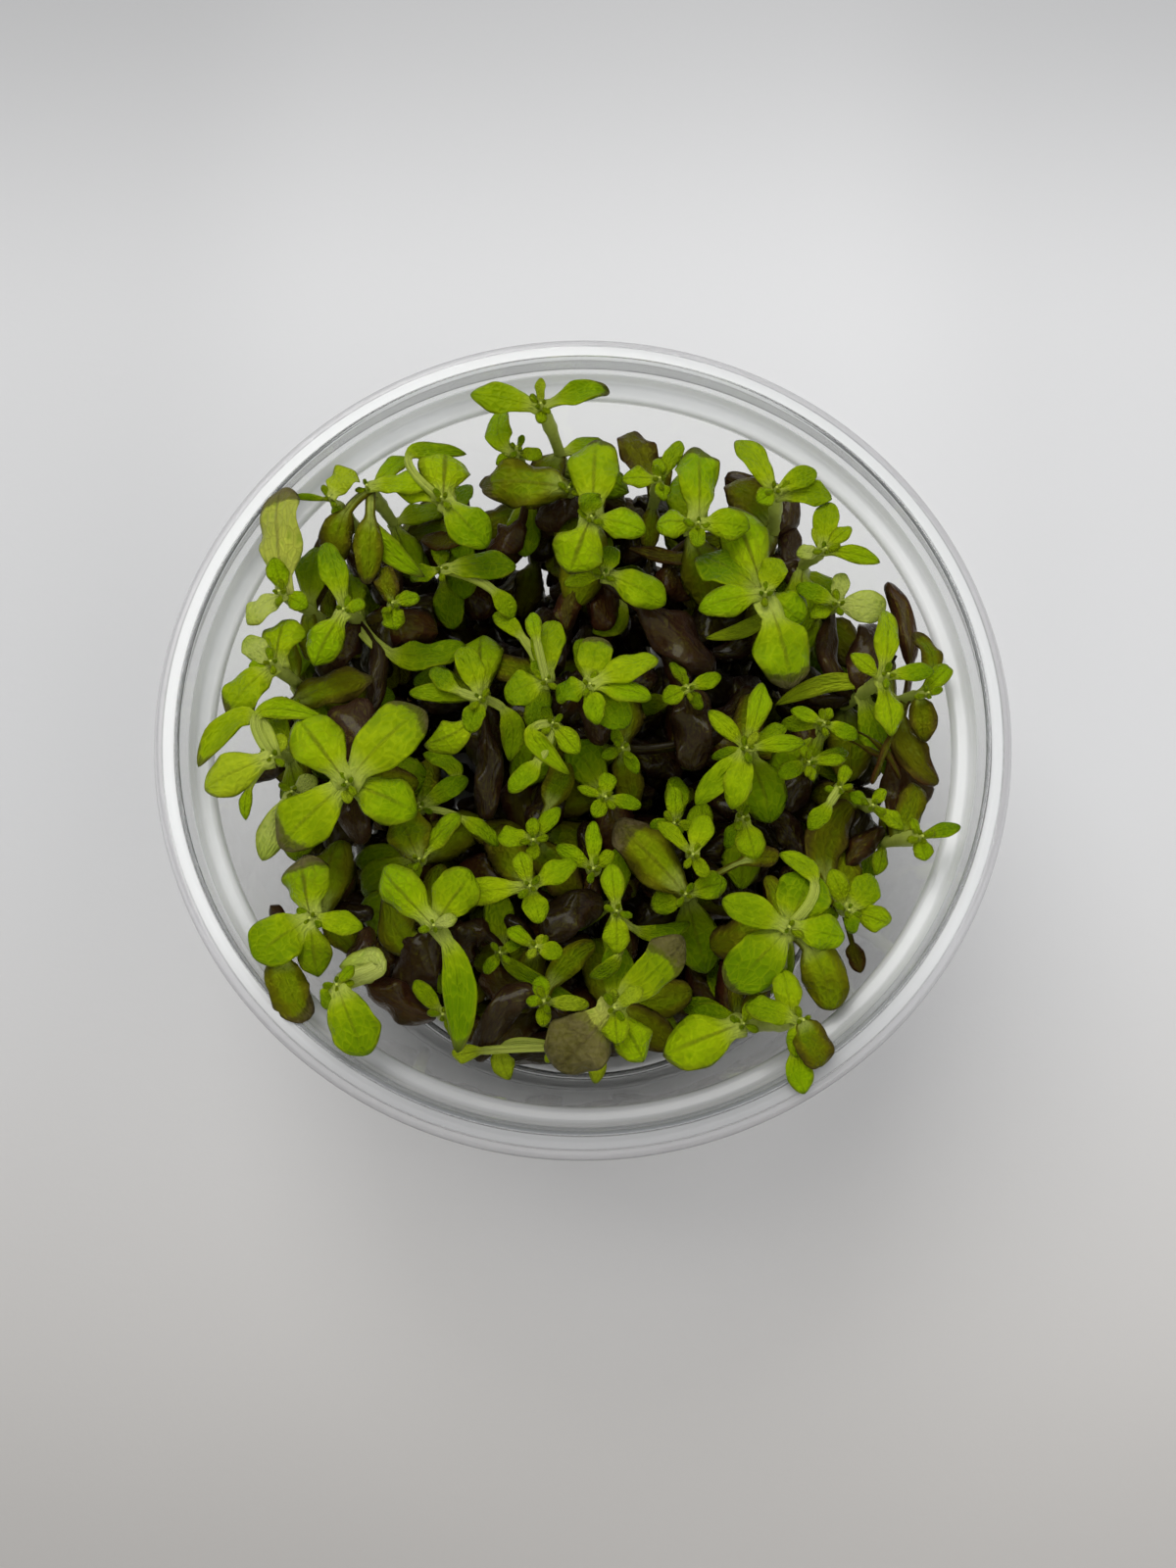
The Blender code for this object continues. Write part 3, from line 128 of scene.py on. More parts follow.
# Each leaf: azimuth, length and width as seen on the rim's plane, rise of its tip, colour word.
# Colour words: b bright, m mid green, y yellow, p pale, o olive, k black, r red-brown, g grey.
# A digit after the letter says how far the tip has browned.
PLANTS = {
    "plant_north_tall": [Shoot((-5.3, 40.3), 62.5, (
        (170, 9.0, 3.9, 0.6, "b1"), (14, 9.0, 3.0, 0.8, "b4", None, 1.0), (92, 4.0, 1.4, 1.8, "y0"),
        (268, 2.6, 1.6, 0.6, "b0"),
    ), (-1.7, 30.0, 44.0))],
    "plant_north_slim": [Shoot((-8.2, 34.3), 57.0, (
        (99, 6.5, 3.5, 0.4, "b2", (-9.0, 34.0)), (340, 3.4, 1.8, 0.8, "b0"), (220, 3.4, 1.6, 0.6, "b0"),
    ), (-6.0, 20.3, 32.0))],
    "plant_north_broad": [Shoot((1.0, 24.8), 60.0, (
        (87, 11.5, 6.4, 0.6, "b3"), (345, 7.0, 4.0, 0.8, "b1"), (250, 8.0, 6.6, -0.6, "b3"),
        (95, 3.6, 3.4, 2.4, "m0"),
    )), Shoot((2.5, 17.3), 55.0, (
        (333, 8.5, 4.5, 0.4, "b1"), (195, 5.0, 2.0, 0.4, "b0"), (75, 4.0, 3.0, 0.6, "m1"),
    )), Shoot((-1.7, 28.7), 57.0, (
        (175, 11.5, 6.0, -0.6, "o5"), (40, 3.0, 2.0, 1.0, "b0"),
    ))],
    "plant_north_pair": [Shoot((9.4, 30.0), 58.0, (
        (180, 4.7, 2.8, 0.6, "b0"), (92, 3.0, 1.8, 1.0, "b0"), (62, 6.0, 2.2, 0.4, "b1"),
        (280, 3.0, 2.0, 0.0, "m1"),
    ))],
    "plant_north_spoon": [Shoot((14.0, 24.0), 59.5, (
        (88, 11.0, 5.6, 0.4, "b5"), (178, 5.5, 4.2, 0.8, "b1"), (355, 6.5, 4.0, 0.6, "b1"),
        (265, 3.2, 2.2, 0.6, "b0"),
    ))],
    "plant_northeast_tall": [Shoot((23.7, 28.7), 61.5, (
        (123, 8.5, 3.6, 0.0, "b2"), (25, 5.5, 2.8, 0.6, "b0"), (352, 7.0, 3.2, 0.2, "b1"),
        (215, 3.0, 2.6, 0.8, "b0"),
    ), (23.1, 19.5, 42.0))],
    "plant_northeast_slim": [Shoot((29.3, 20.6), 60.0, (
        (85, 6.5, 3.2, 0.6, "b1"), (42, 4.5, 2.0, 0.6, "b0"), (345, 6.7, 2.2, 0.2, "b0"),
        (115, 3.2, 1.2, 1.2, "y0"), (190, 3.6, 2.0, 0.2, "p0"),
    ), (24.5, 18.0, 44.0)), Shoot((30.5, 13.5), 57.5, (
        (80, 4.2, 2.2, 0.6, "p0"), (155, 5.5, 2.2, 0.4, "b0"), (350, 6.0, 4.0, 0.2, "p1"),
        (205, 4.0, 2.2, 0.2, "b0"),
    ))],
    "plant_northeast_broad": [Shoot((21.8, 14.8), 58.5, (
        (108, 13.2, 6.0, 0.2, "b4"), (70, 5.0, 3.4, 0.6, "b0"), (147, 9.5, 6.0, -1.4, "m2"),
        (320, 6.0, 4.8, 0.2, "b1"), (192, 8.4, 4.2, -0.4, "b1"), (283, 10.0, 7.2, -0.4, "b5", (22.5, 12.6)),
    ))],
    "plant_east_upright": [Shoot((35.8, 4.5), 60.5, (
        (87, 8.5, 3.2, 0.2, "b1"), (147, 5.0, 2.2, 0.8, "b0"), (271, 7.5, 3.5, 0.2, "b1"),
        (5, 5.5, 2.2, 0.6, "b0"),
    ), (30.5, 0.7, 44.0)), Shoot((40.3, 2.2), 60.0, (
        (50, 4.5, 2.2, 0.8, "b2", None, 1.0), (262, 6.0, 3.2, -0.8, "o3"),
        (110, 5.5, 2.5, -0.2, "o5", (41.0, 4.8)),
    ))],
    "plant_east_small": [Shoot((26.0, -6.2), 55.0, (
        (5, 4.4, 1.6, 0.4, "b0"), (205, 4.0, 2.1, 0.4, "b0"), (15, 5.0, 1.8, -1.8, "m1"),
        (280, 2.2, 1.2, 0.6, "b0"), (110, 2.4, 1.3, 0.8, "b0"),
    )), Shoot((28.0, -1.5), 56.0, (
        (155, 4.2, 1.8, 0.4, "b0"), (335, 4.2, 2.0, 0.4, "b0"), (180, 5.0, 2.0, -1.8, "m1"),
        (65, 2.2, 1.3, 0.8, "b0"),
    ))],
    "plant_east_fan": [Shoot((18.9, -4.5), 57.0, (
        (133, 6.3, 2.2, 0.4, "b0"), (55, 2.5, 1.2, 1.0, "y0"), (74, 8.4, 2.8, 0.2, "b1"),
        (30, 5.6, 2.0, -0.4, "b0"), (195, 4.3, 1.4, -1.4, "m1"), (228, 9.0, 3.0, 0.0, "b1"),
        (255, 7.5, 3.4, 0.2, "b1"), (5, 7.0, 2.1, 0.4, "b0"),
    ))],
    "plant_east_low": [Shoot((33.0, -11.3), 54.5, (
        (322, 4.5, 2.1, 0.2, "b0"), (150, 3.0, 1.6, 0.2, "m0"), (50, 2.6, 1.5, 0.6, "b0"),
    )), Shoot((29.4, -9.2), 54.0, (
        (230, 4.0, 2.2, 0.2, "b0", (28.2, -11.0)), (70, 3.0, 1.6, 0.4, "b0"),
    ))],
    "plant_east_edge": [Shoot((38.4, -14.9), 61.5, (
        (115, 2.4, 1.2, 0.8, "b0"), (15, 4.7, 1.8, 0.4, "b0"), (275, 2.8, 2.4, 0.4, "b1"),
    ), (35.4, -15.6, 50.0))],
    "plant_east_cup": [Shoot((18.2, -12.7), 52.5, (
        (285, 5.2, 3.6, 0.2, "b1"), (240, 4.0, 2.0, -0.8, "m1"), (95, 3.2, 1.8, 0.4, "m0"),
    ))],
    "plant_middle_west": [Shoot((-4.3, 3.8), 58.0, (
        (88, 8.0, 4.0, 0.4, "b1"), (125, 3.0, 1.7, 1.0, "b0"), (200, 5.5, 4.5, 0.0, "b1"),
        (100, 3.5, 2.0, -0.6, "b0", (-5.5, 9.0)),
    ))],
    "plant_middle_star": [Shoot((0.8, 3.3), 58.5, (
        (80, 6.5, 4.3, 0.6, "b5"), (25, 9.0, 4.0, 0.2, "b1"), (348, 7.5, 3.2, 0.2, "b1"),
        (310, 7.0, 4.4, -0.4, "b2"), (200, 4.5, 3.5, -0.8, "m1"), (280, 5.0, 2.7, 0.2, "b1"),
    )), Shoot((-3.5, -1.5), 55.5, (
        (310, 4.8, 2.7, 0.2, "b1"), (303, 7.0, 2.4, -0.8, "b1", (-5.3, -1.7), 0.8),
        (225, 4.7, 2.8, 0.2, "b1", (-5.3, -6.2)), (120, 2.4, 1.4, 0.8, "b0"),
    ))],
    "plant_middle_left": [Shoot((-12.0, 1.6), 56.0, (
        (108, 7.2, 3.4, 0.4, "b1"), (255, 4.3, 2.8, 0.4, "b1"), (175, 8.5, 2.2, 0.0, "b1"),
        (205, 6.5, 4.0, -1.0, "b2", (-13.0, -1.0)), (135, 4.5, 2.4, -0.4, "m1", (-14.5, 2.5)),
    ))],
    "plant_middle_bud": [Shoot((4.6, -4.5), 52.5, (
        (300, 3.5, 1.6, 0.4, "b0"), (115, 2.7, 1.4, 0.6, "b0"), (205, 2.7, 1.5, 0.2, "m0"),
    )), Shoot((12.3, 2.8), 52.5, (
        (205, 3.4, 2.4, 0.2, "b0"), (20, 4.2, 2.0, 0.2, "b0"), (120, 4.0, 1.6, -0.8, "m1"),
        (300, 3.0, 1.6, 0.0, "m0"),
    ))],
    "plant_middle_south": [Shoot((2.6, -10.3), 52.5, (
        (85, 3.0, 2.2, 0.4, "b0"), (160, 3.5, 1.2, 0.4, "b0"), (240, 2.7, 2.0, 0.4, "b0"),
        (345, 4.2, 1.8, 0.2, "b0"),
    ))],
    "plant_southeast_small": [Shoot((12.4, -17.0), 54.0, (
        (70, 5.0, 2.9, 0.2, "b1"), (135, 5.5, 1.8, 0.2, "b0"), (300, 3.0, 1.8, 0.2, "b0"),
    )), Shoot((10.4, -13.4), 52.5, (
        (90, 4.5, 2.2, 0.4, "b0"), (350, 2.7, 1.4, 0.4, "b0"), (185, 2.8, 1.5, 0.2, "m0"),
    ))],
    "plant_south_olive": [Shoot((11.5, -21.5), 51.5, (
        (133, 12.0, 5.6, 0.0, "o7"), (0, 3.0, 2.5, -0.4, "o2", (19.0, -17.4)), (18, 5.2, 3.2, -0.2, "m2"),
        (200, 4.2, 3.0, -0.4, "m2"),
    ))],
    "plant_south_left": [Shoot((-5.6, -15.3), 53.0, (
        (52, 4.8, 2.0, 0.4, "b0"), (92, 2.7, 1.6, 0.6, "b0"), (272, 2.4, 1.6, 0.4, "b0"),
        (175, 4.2, 2.7, 0.2, "b1"),
    ))],
    "plant_south_cross": [Shoot((-5.9, -20.6), 54.0, (
        (108, 4.3, 2.5, 0.4, "b0"), (28, 6.0, 3.0, 0.2, "b1"), (187, 9.0, 3.2, -0.2, "b2"),
        (285, 4.3, 3.0, 0.2, "b1"),
    ))],
    "plant_south_twins": [Shoot((-5.1, -27.4), 53.0, (
        (148, 4.0, 2.0, 0.4, "b0"), (345, 3.0, 2.2, 0.4, "b0"), (235, 1.6, 1.1, 0.8, "y0"),
        (60, 1.6, 1.1, 0.8, "y0"),
    )), Shoot((-9.1, -28.0), 50.0, (
        (235, 2.8, 1.6, 0.4, "b0"), (30, 2.8, 1.4, 0.0, "m0"),
    ))],
    "plant_south_yellow": [Shoot((-4.2, -33.3), 54.0, (
        (100, 2.8, 2.1, 0.4, "b0"), (268, 2.8, 1.7, 0.4, "b0"), (355, 5.0, 1.8, 0.0, "y1"),
        (180, 2.0, 1.3, 0.6, "b0"),
    ))],
    "plant_south_arch": [Shoot((1.2, -18.6), 53.0, (
        (90, 5.6, 1.9, 0.4, "b0"), (40, 3.0, 1.7, 0.4, "b0"), (148, 5.0, 2.2, 0.6, "b0"),
    )), Shoot((3.8, -23.4), 55.0, (
        (97, 5.6, 2.7, 0.2, "b1"), (270, 4.8, 3.0, 0.2, "b1"), (215, 4.0, 2.0, -1.6, "m1", (4.0, -28.3)),
    ))],
    "plant_south_broad": [Shoot((3.5, -34.0), 59.0, (
        (226, 9.7, 7.0, -0.6, "y9"), (43, 11.0, 4.8, 0.2, "b9"), (300, 6.8, 4.4, 0.0, "b1"),
        (275, 4.0, 3.0, 0.6, "b0"), (35, 3.8, 1.8, 1.2, "y0"), (95, 2.2, 1.3, 1.4, "y0"),
    )), Shoot((-3.5, -38.2), 49.0, (
        (275, 3.5, 2.2, -0.4, "y1", (1.0, -38.6)), (285, 3.2, 2.6, -0.4, "y1", (-8.6, -38.6)),
        (190, 3.0, 2.0, -0.4, "y1", (-11.2, -38.6)),
    ))],
    "plant_southwest_long": [Shoot((-16.5, -25.0), 58.0, (
        (279, 13.0, 3.8, -0.4, "b2", (-15.6, -26.0)), (135, 9.7, 5.0, -0.4, "b2"), (55, 7.8, 5.5, 0.2, "b2"),
        (20, 2.7, 1.6, 0.8, "p0"),
    ))],
    "plant_west_olive": [Shoot((-18.4, -17.5), 54.0, (
        (115, 6.5, 5.0, 0.0, "o2"), (50, 7.0, 3.0, 0.0, "m2"), (250, 3.4, 2.2, -0.6, "m1"),
    )), Shoot((-18.5, -11.5), 50.0, (
        (32, 6.4, 2.4, -0.4, "m2"), (323, 5.3, 2.2, -0.4, "m1", (-13.7, -12.8)),
    ))],
    "plant_west_four_leaf": [Shoot((-27.0, -8.6), 61.0, (
        (128, 10.8, 6.4, 0.4, "b2"), (48, 12.8, 6.8, 0.4, "b5"), (338, 9.0, 6.0, 0.6, "b1"),
        (225, 10.8, 6.4, 0.2, "b5"), (95, 2.4, 1.5, 1.4, "y0"), (275, 2.4, 1.5, 1.4, "y0"),
    ))],
    "plant_west_edge": [Shoot((-35.8, -5.5), 61.6, (
        (205, 9.0, 5.0, 0.2, "y2"), (222, 8.5, 3.5, 0.2, "b2", (-38.0, -1.0), 1.0),
        (0, 8.0, 2.6, -0.4, "b0", (-38.0, -0.8)), (268, 3.8, 1.5, 0.0, "b0", (-38.2, -9.2)),
        (70, 3.0, 2.0, 0.6, "y0"),
    )), Shoot((-33.2, -9.7), 57.5, (
        (250, 8.5, 3.5, 0.0, "p1"), (30, 3.2, 2.2, 0.4, "p0"),
    ))],
    "plant_west_spike": [Shoot((-36.7, 6.1), 61.2, (
        (80, 6.5, 5.0, 0.4, "b4"), (140, 4.5, 3.0, 0.2, "p1"), (231, 8.2, 4.8, 0.2, "b5"),
        (190, 2.7, 1.8, 0.8, "b0"),
    ), (-32.5, 2.6, 47.0)), Shoot((-34.5, 1.0), 54.0, (
        (19, 10.5, 4.3, -0.2, "o3"), (205, 3.2, 2.2, 0.0, "o2"),
    ))],
    "plant_northwest_long": [Shoot((-36.3, 15.0), 61.2, (
        (96, 14.8, 6.4, 1.6, "y5"), (103, 4.7, 2.6, 2.6, "b0"), (225, 5.5, 4.0, 0.0, "p1"),
        (330, 4.0, 2.5, 0.2, "b0"),
    ))],
    "plant_northwest_slim": [Shoot((-28.5, 12.7), 59.0, (
        (106, 9.3, 3.5, 0.4, "b1"), (245, 7.8, 4.5, 0.0, "b1"), (20, 2.7, 2.0, 0.8, "b0"),
    )), Shoot((-22.7, 13.5), 55.5, (
        (105, 5.0, 2.8, 0.0, "o2"), (275, 3.4, 3.3, 0.2, "b1"), (15, 3.4, 2.0, -0.2, "m1"),
    ))],
    "plant_northwest_edge": [Shoot((-31.0, 27.5), 58.0, (
        (60, 5.0, 4.0, 0.4, "y2"), (178, 4.8, 0.9, 0.2, "b0"), (300, 3.0, 1.8, 0.2, "m1"),
    ))],
    "plant_northwest_olive": [Shoot((-26.5, 29.0), 57.0, (
        (42, 6.5, 2.8, 0.2, "m1"), (8, 7.6, 3.4, -0.4, "b1"), (270, 8.5, 3.6, -1.0, "o3", (-26.0, 24.5)),
        (265, 8.0, 4.0, -1.8, "o3", (-29.0, 25.5)), (310, 11.0, 3.0, -1.4, "m2", (-26.0, 25.5)),
    ))],
    "plant_north_left": [Shoot((-17.3, 27.4), 58.5, (
        (87, 7.6, 6.6, 0.6, "b1"), (312, 8.6, 5.2, 0.2, "b1"), (4, 7.2, 2.4, -2.0, "m1", (-21.6, 33.0)),
        (160, 6.8, 3.6, 0.0, "b1"),
    )), Shoot((-17.0, 18.0), 50.5, (
        (3, 9.0, 4.0, 0.0, "m1"), (300, 4.0, 2.5, -0.4, "m1", (-10.5, 15.0)), (200, 4.0, 2.4, -0.4, "m1"),
        (95, 3.4, 2.2, 0.2, "m0"),
    ))],
    "plant_southwest_broad": [Shoot((-30.3, -24.2), 60.2, (
        (103, 7.8, 6.0, 0.4, "m7"), (350, 6.0, 2.8, 0.4, "b1"), (280, 6.7, 4.0, -0.8, "m1"),
        (215, 7.5, 6.0, 0.6, "b2"), (300, 6.5, 4.5, -1.8, "o4", (-33.0, -29.4)),
    ))],
    "plant_southwest_edge": [Shoot((-26.9, -31.5), 61.6, (
        (295, 8.5, 5.4, 0.4, "b1"), (240, 3.0, 2.4, 0.6, "b0"), (50, 2.7, 1.5, 0.8, "b0"),
        (180, 4.5, 4.2, -0.6, "p1", (-22.5, -29.5)),
    ))],
    "plant_southwest_low": [Shoot((-15.2, -34.7), 50.0, (
        (132, 5.0, 2.0, 0.2, "b0"), (310, 3.0, 1.7, 0.2, "m0"), (40, 2.8, 1.5, 0.2, "m0"),
    ))],
    "plant_southeast_broad": [Shoot((22.9, -25.2), 60.8, (
        (157, 8.0, 3.8, 0.2, "b1"), (65, 6.8, 6.3, 0.6, "b1"), (140, 5.0, 2.6, -1.0, "b0", (26.0, -20.0)),
        (350, 6.5, 4.0, 0.2, "b1"), (225, 9.8, 6.0, 0.0, "b4"), (285, 7.3, 5.0, -0.8, "o2", (25.2, -27.5)),
    ))],
    "plant_southeast_slim": [Shoot((29.6, -23.3), 58.0, (
        (110, 5.0, 2.6, 0.2, "b0"), (48, 5.0, 3.5, 0.2, "b1"), (342, 5.0, 3.0, 0.0, "b1"),
        (280, 2.7, 1.8, 0.4, "b0"),
    ))],
    "plant_southeast_edge": [Shoot((24.0, -35.3), 61.8, (
        (110, 6.0, 3.2, 0.2, "b1"), (165, 6.5, 3.4, -0.8, "m1"), (290, 5.5, 4.0, 0.0, "o2"),
        (260, 4.0, 3.0, 0.4, "b1"), (280, 4.6, 3.0, 0.8, "b1", (23.1, -38.6)),
    ), (17.6, -36.4, 47.0)), Shoot((17.5, -35.7), 57.0, (
        (200, 9.7, 6.0, -0.4, "b2"), (60, 3.0, 1.8, 0.4, "b0"),
    ))],
}

# Old leaves low in the tub: where each is first seen, where its tip is seen, width and height.
OLD_LEAVES = (
    ((30.9, 2.6), (29.7, 14.0), 3.0, 49, "k"), ((38.6, 6.8), (37.5, 16.4), 2.4, 52, "r"),
    ((7.8, 12.8), (16.0, 5.2), 6.0, 50, "k"), ((12.4, 2.0), (12.3, -7.2), 4.8, 47, "k"),
    ((13.5, -3.0), (20.5, 3.0), 4.0, 45, "k"), ((-32.0, 14.0), (-32.4, 26.4), 3.4, 50, "k"),
    ((5.5, 20.8), (13.8, 20.8), 2.2, 48, "g"), ((13.4, 14.8), (10.2, 17.6), 3.8, 46, "r"),
    ((36.8, -3.0), (37.0, -15.5), 5.5, 48, "r"), ((37.0, -1.0), (41.0, -8.8), 3.8, 54, "g"),
    ((27.2, -19.0), (32.4, -7.2), 7.2, 49, "o"), ((30.0, -18.0), (36.0, -14.5), 3.0, 45, "r"),
    ((24.5, -19.0), (21.0, -12.5), 3.0, 45, "k"), ((2.2, -22.0), (-4.2, -26.2), 4.6, 47, "k"),
    ((1.5, -27.0), (-3.5, -31.5), 3.0, 47, "o"), ((-5.2, -32.8), (-11.3, -39.8), 3.4, 48, "k"),
    ((-3.0, -38.0), (-8.4, -39.6), 3.4, 44, "k"), ((-11.0, -26.0), (-14.5, -29.5), 4.0, 44, "k"),
    ((-17.8, -26.5), (-22.3, -21.0), 5.0, 48, "o"), ((-21.5, -26.8), (-21.5, -31.3), 3.0, 45, "r"),
    ((-14.6, -36.0), (-23.2, -31.4), 4.8, 47, "r"), ((-17.0, -27.5), (-18.5, -31.5), 4.0, 42, "k"),
    ((-31.5, -26.0), (-34.5, -22.7), 2.0, 50, "k"), ((-25.5, -19.5), (-29.0, -23.0), 4.0, 46, "r"),
    ((8.2, 30.0), (5.6, 36.8), 4.4, 52, "g"), ((24.4, 23.6), (17.4, 30.2), 3.6, 50, "k"),
    ((26.2, 16.0), (25.4, 24.0), 3.0, 50, "k"), ((-24.5, 8.0), (-25.5, -1.0), 2.2, 48, "k"),
    ((-23.0, 7.5), (-14.0, 8.5), 4.0, 48, "m"), ((-2.0, 10.0), (-1.0, 15.0), 3.0, 47, "r"),
    ((1.0, 10.0), (4.5, 13.5), 4.0, 45, "m"), ((-12.0, 20.5), (-8.0, 23.5), 4.0, 47, "r"),
    ((-1.5, 27.5), (-6.0, 24.5), 4.4, 50, "k"), ((-2.0, -6.0), (-3.5, -10.5), 3.5, 46, "o"),
    ((-11.0, -3.5), (-11.2, -13.0), 3.2, 47, "k"), ((30.0, -27.5), (31.0, -31.5), 3.0, 50, "g"),
)


# The tub

def tub_profile():
    """The turned outline from the middle of the inside floor, over the rim, to the middle underneath."""
    wall_lean = (LEDGE_RADIUS - FLOOR_RADIUS) / (LEDGE_HEIGHT - FLOOR_TOP)
    inside_low = FLOOR_RADIUS + wall_lean * 3.0
    return (
        (0.0, FLOOR_TOP),
        (FLOOR_RADIUS - 2.2, FLOOR_TOP),
        (FLOOR_RADIUS - 0.6, FLOOR_TOP + 0.8),
        (inside_low, FLOOR_TOP + 3.0),
        (LEDGE_RADIUS, LEDGE_HEIGHT),
        (LEDGE_RADIUS + 1.8, LEDGE_HEIGHT + 0.5),
        (MOUTH_RADIUS, RIM_TOP - 0.3),
        (MOUTH_RADIUS + 0.3, RIM_TOP),
        (RIM_RADIUS - 0.5, RIM_TOP),
        (RIM_RADIUS, RIM_TOP - 0.4),
        (RIM_RADIUS - 0.1, RIM_TOP - SKIRT_DEPTH),
        (RIM_RADIUS - 0.1 - WALL, RIM_TOP - SKIRT_DEPTH),
        (RIM_RADIUS - 0.1 - WALL, RIM_TOP - 1.0),
        (MOUTH_RADIUS + 1.0, RIM_TOP - WALL),
        (MOUTH_RADIUS + 0.55, LEDGE_HEIGHT - 0.3),
        (LEDGE_RADIUS + WALL, LEDGE_HEIGHT - 0.9),
        (inside_low + WALL, FLOOR_TOP + 2.6),
        (FLOOR_RADIUS + 0.1, 0.9),
        (FOOT_RADIUS, 0.0),
        (FOOT_RADIUS - FOOT_RING_WIDTH, 0.0),
        (FOOT_RADIUS - FOOT_RING_WIDTH - 0.8, BASE_RECESS),
        (0.0, BASE_RECESS),
    )


def inside_radius(height):
    """Radius of the free space in the tub at this height."""
    if height > RIM_TOP + GAP:
        return math.inf
    if height > LEDGE_HEIGHT + 1.0:
        return MOUTH_RADIUS - 0.6
    lean = (LEDGE_RADIUS - FLOOR_RADIUS) / (LEDGE_HEIGHT - FLOOR_TOP)
    return FLOOR_RADIUS + lean * (min(height, LEDGE_HEIGHT) - FLOOR_TOP)


# Where things are

def sight_scale(height):
    """Size at this height of what looks as large as 1 on the rim's plane."""
    return (SEEN_FROM.z - height) / (SEEN_FROM.z - RIM_TOP)


def sight(seen, height):
    """The point at this height that SEEN_FROM shows at this place on the rim's plane."""
    scale = sight_scale(height)
    return Vector((
        SEEN_FROM.x + (seen[0] - SEEN_FROM.x) * scale, SEEN_FROM.y + (seen[1] - SEEN_FROM.y) * scale, height,
    ))


def seen_place(point):
    """The place on the rim's plane at which SEEN_FROM shows this point."""
    scale = (SEEN_FROM.z - RIM_TOP) / (SEEN_FROM.z - point.z)
    return Vector((
        SEEN_FROM.x + (point.x - SEEN_FROM.x) * scale, SEEN_FROM.y + (point.y - SEEN_FROM.y) * scale,
    ))


def held_within(point, radius):
    """The point, moved in towards the tub's axis if it is further out than radius."""
    share = min(1.0, radius / max(math.hypot(point.x, point.y), 1e-6))
    return Vector((point.x * share, point.y * share, point.z))


def toward(angle):
    """A level direction at this angle in radians."""
    return Vector((math.cos(angle), math.sin(angle), 0.0))


def on_curve(start, bend, end, share):
    """The point at this share of the curve from start to end, drawn towards bend."""
    rest = 1.0 - share
    return rest * rest * start + 2.0 * share * rest * bend + share * share * end


def bend_through(start, through, end, share):
    """The bend that carries the curve from start to end through this point at this share."""
    rest = 1.0 - share
    return (through - rest * rest * start - share * share * end) / (2.0 * share * rest)


def noise(number):
    """A fixed number from 0 to 1 that looks like chance."""
    return math.sin(number * 12.9898) * 43758.5453 % 1.0


# Stems

def stem_point(stem, height):
    share = (stem.top.z - height) / (stem.top.z - stem.foot.z)
    return on_curve(stem.top, stem.bend, stem.foot, share)


def stem_between(shoot, foot, radius, sway):
    """A stem from foot up to the shoot's centre, bent so that it passes the place where it is seen."""
    top = sight(shoot.seen, shoot.height)
    middle = (top.z + foot.z) / 2.0
    if shoot.passes:
        through = sight(shoot.passes[:2], shoot.passes[2])
        bend = bend_through(top, through, foot, (top.z - through.z) / (top.z - foot.z))
    else:
        bend = sight(shoot.seen, middle)
    bend = held_within(bend + sway, BEND_LIMIT)
    return Stem(top, Vector((bend.x, bend.y, middle)), foot, radius)


def stems_clear(stem, placed):
    levels = [FOOT_HEIGHT + LEVEL_STEP * step for step in range(LEVELS)]
    for height in levels:
        if not stem.foot.z <= height <= stem.top.z:
            continue
        here = stem_point(stem, height)
        if math.hypot(here.x, here.y) > inside_radius(height) - STEM_TO_WALL:
            return False
        for other in placed:
            if not other.foot.z <= height <= other.top.z:
                continue
            if (stem_point(other, height) - here).length < stem.radius + other.radius + STEM_TO_STEM:
                return False
    return True


def spiral_steps():
    yield Vector((0.0, 0.0, 0.0))
    for step in range(1, SPIRAL_STEPS):
        angle = step * SPIRAL_TURN
        yield toward(angle) * SPIRAL_SPREAD * math.sqrt(step)


def main_stem(shoot, placed):
    start = held_within(sight(shoot.seen, FOOT_HEIGHT), FOOT_LIMIT)
    if shoot.passes:
        start = held_within(sight(shoot.passes[:2], FOOT_HEIGHT + LEVEL_STEP * 3), FOOT_LIMIT - 3.0)
    start.z = FOOT_HEIGHT
    for shift in spiral_steps():
        foot = held_within(start + shift, FOOT_LIMIT + FOOT_SPREAD)
        stem = stem_between(shoot, foot, STEM_RADIUS, shift * 0.5)
        if stems_clear(stem, placed):
            return stem
    raise ValueError("no room for a stem")


def side_stem(shoot, parent, placed):
    """A branch that leaves its plant's main stem at the first fork that keeps it clear of other plants."""
    for shift in spiral_steps():
        for fork in SIDE_FORKS:
            stem = stem_between(shoot, stem_point(parent, fork), SIDE_STEM_RADIUS, shift)
            if stems_clear(stem, placed):
                return stem
    raise ValueError("no room for a side stem")


def stem_shape(stem, extra=0.0):
    """Points and faces of a tapered stem with a pointed bud at its top."""
    points = []
    faces = []
    for part in range(STEM_PARTS + 1):
        height = stem.foot.z + (stem.top.z - stem.foot.z) * part / STEM_PARTS
        centre = stem_point(stem, height)
        radius = stem.radius * (1.0 - STEM_TAPER * part / STEM_PARTS) + extra
        points += [centre + toward(math.tau * side / STEM_SIDES) * radius for side in range(STEM_SIDES)]
    points.append(stem.top + UP * (BUD_HEIGHT + extra))
    for part in range(STEM_PARTS):
        for side in range(STEM_SIDES):
            after = (side + 1) % STEM_SIDES
            low = part * STEM_SIDES
            high = low + STEM_SIDES
            faces.append((low + side, low + after, high + after, high + side))
    high = STEM_PARTS * STEM_SIDES
    faces += [(high + side, high + (side + 1) % STEM_SIDES, len(points) - 1) for side in range(STEM_SIDES)]
    faces.append(tuple(reversed(range(STEM_SIDES))))
    return points, faces


# Leaves

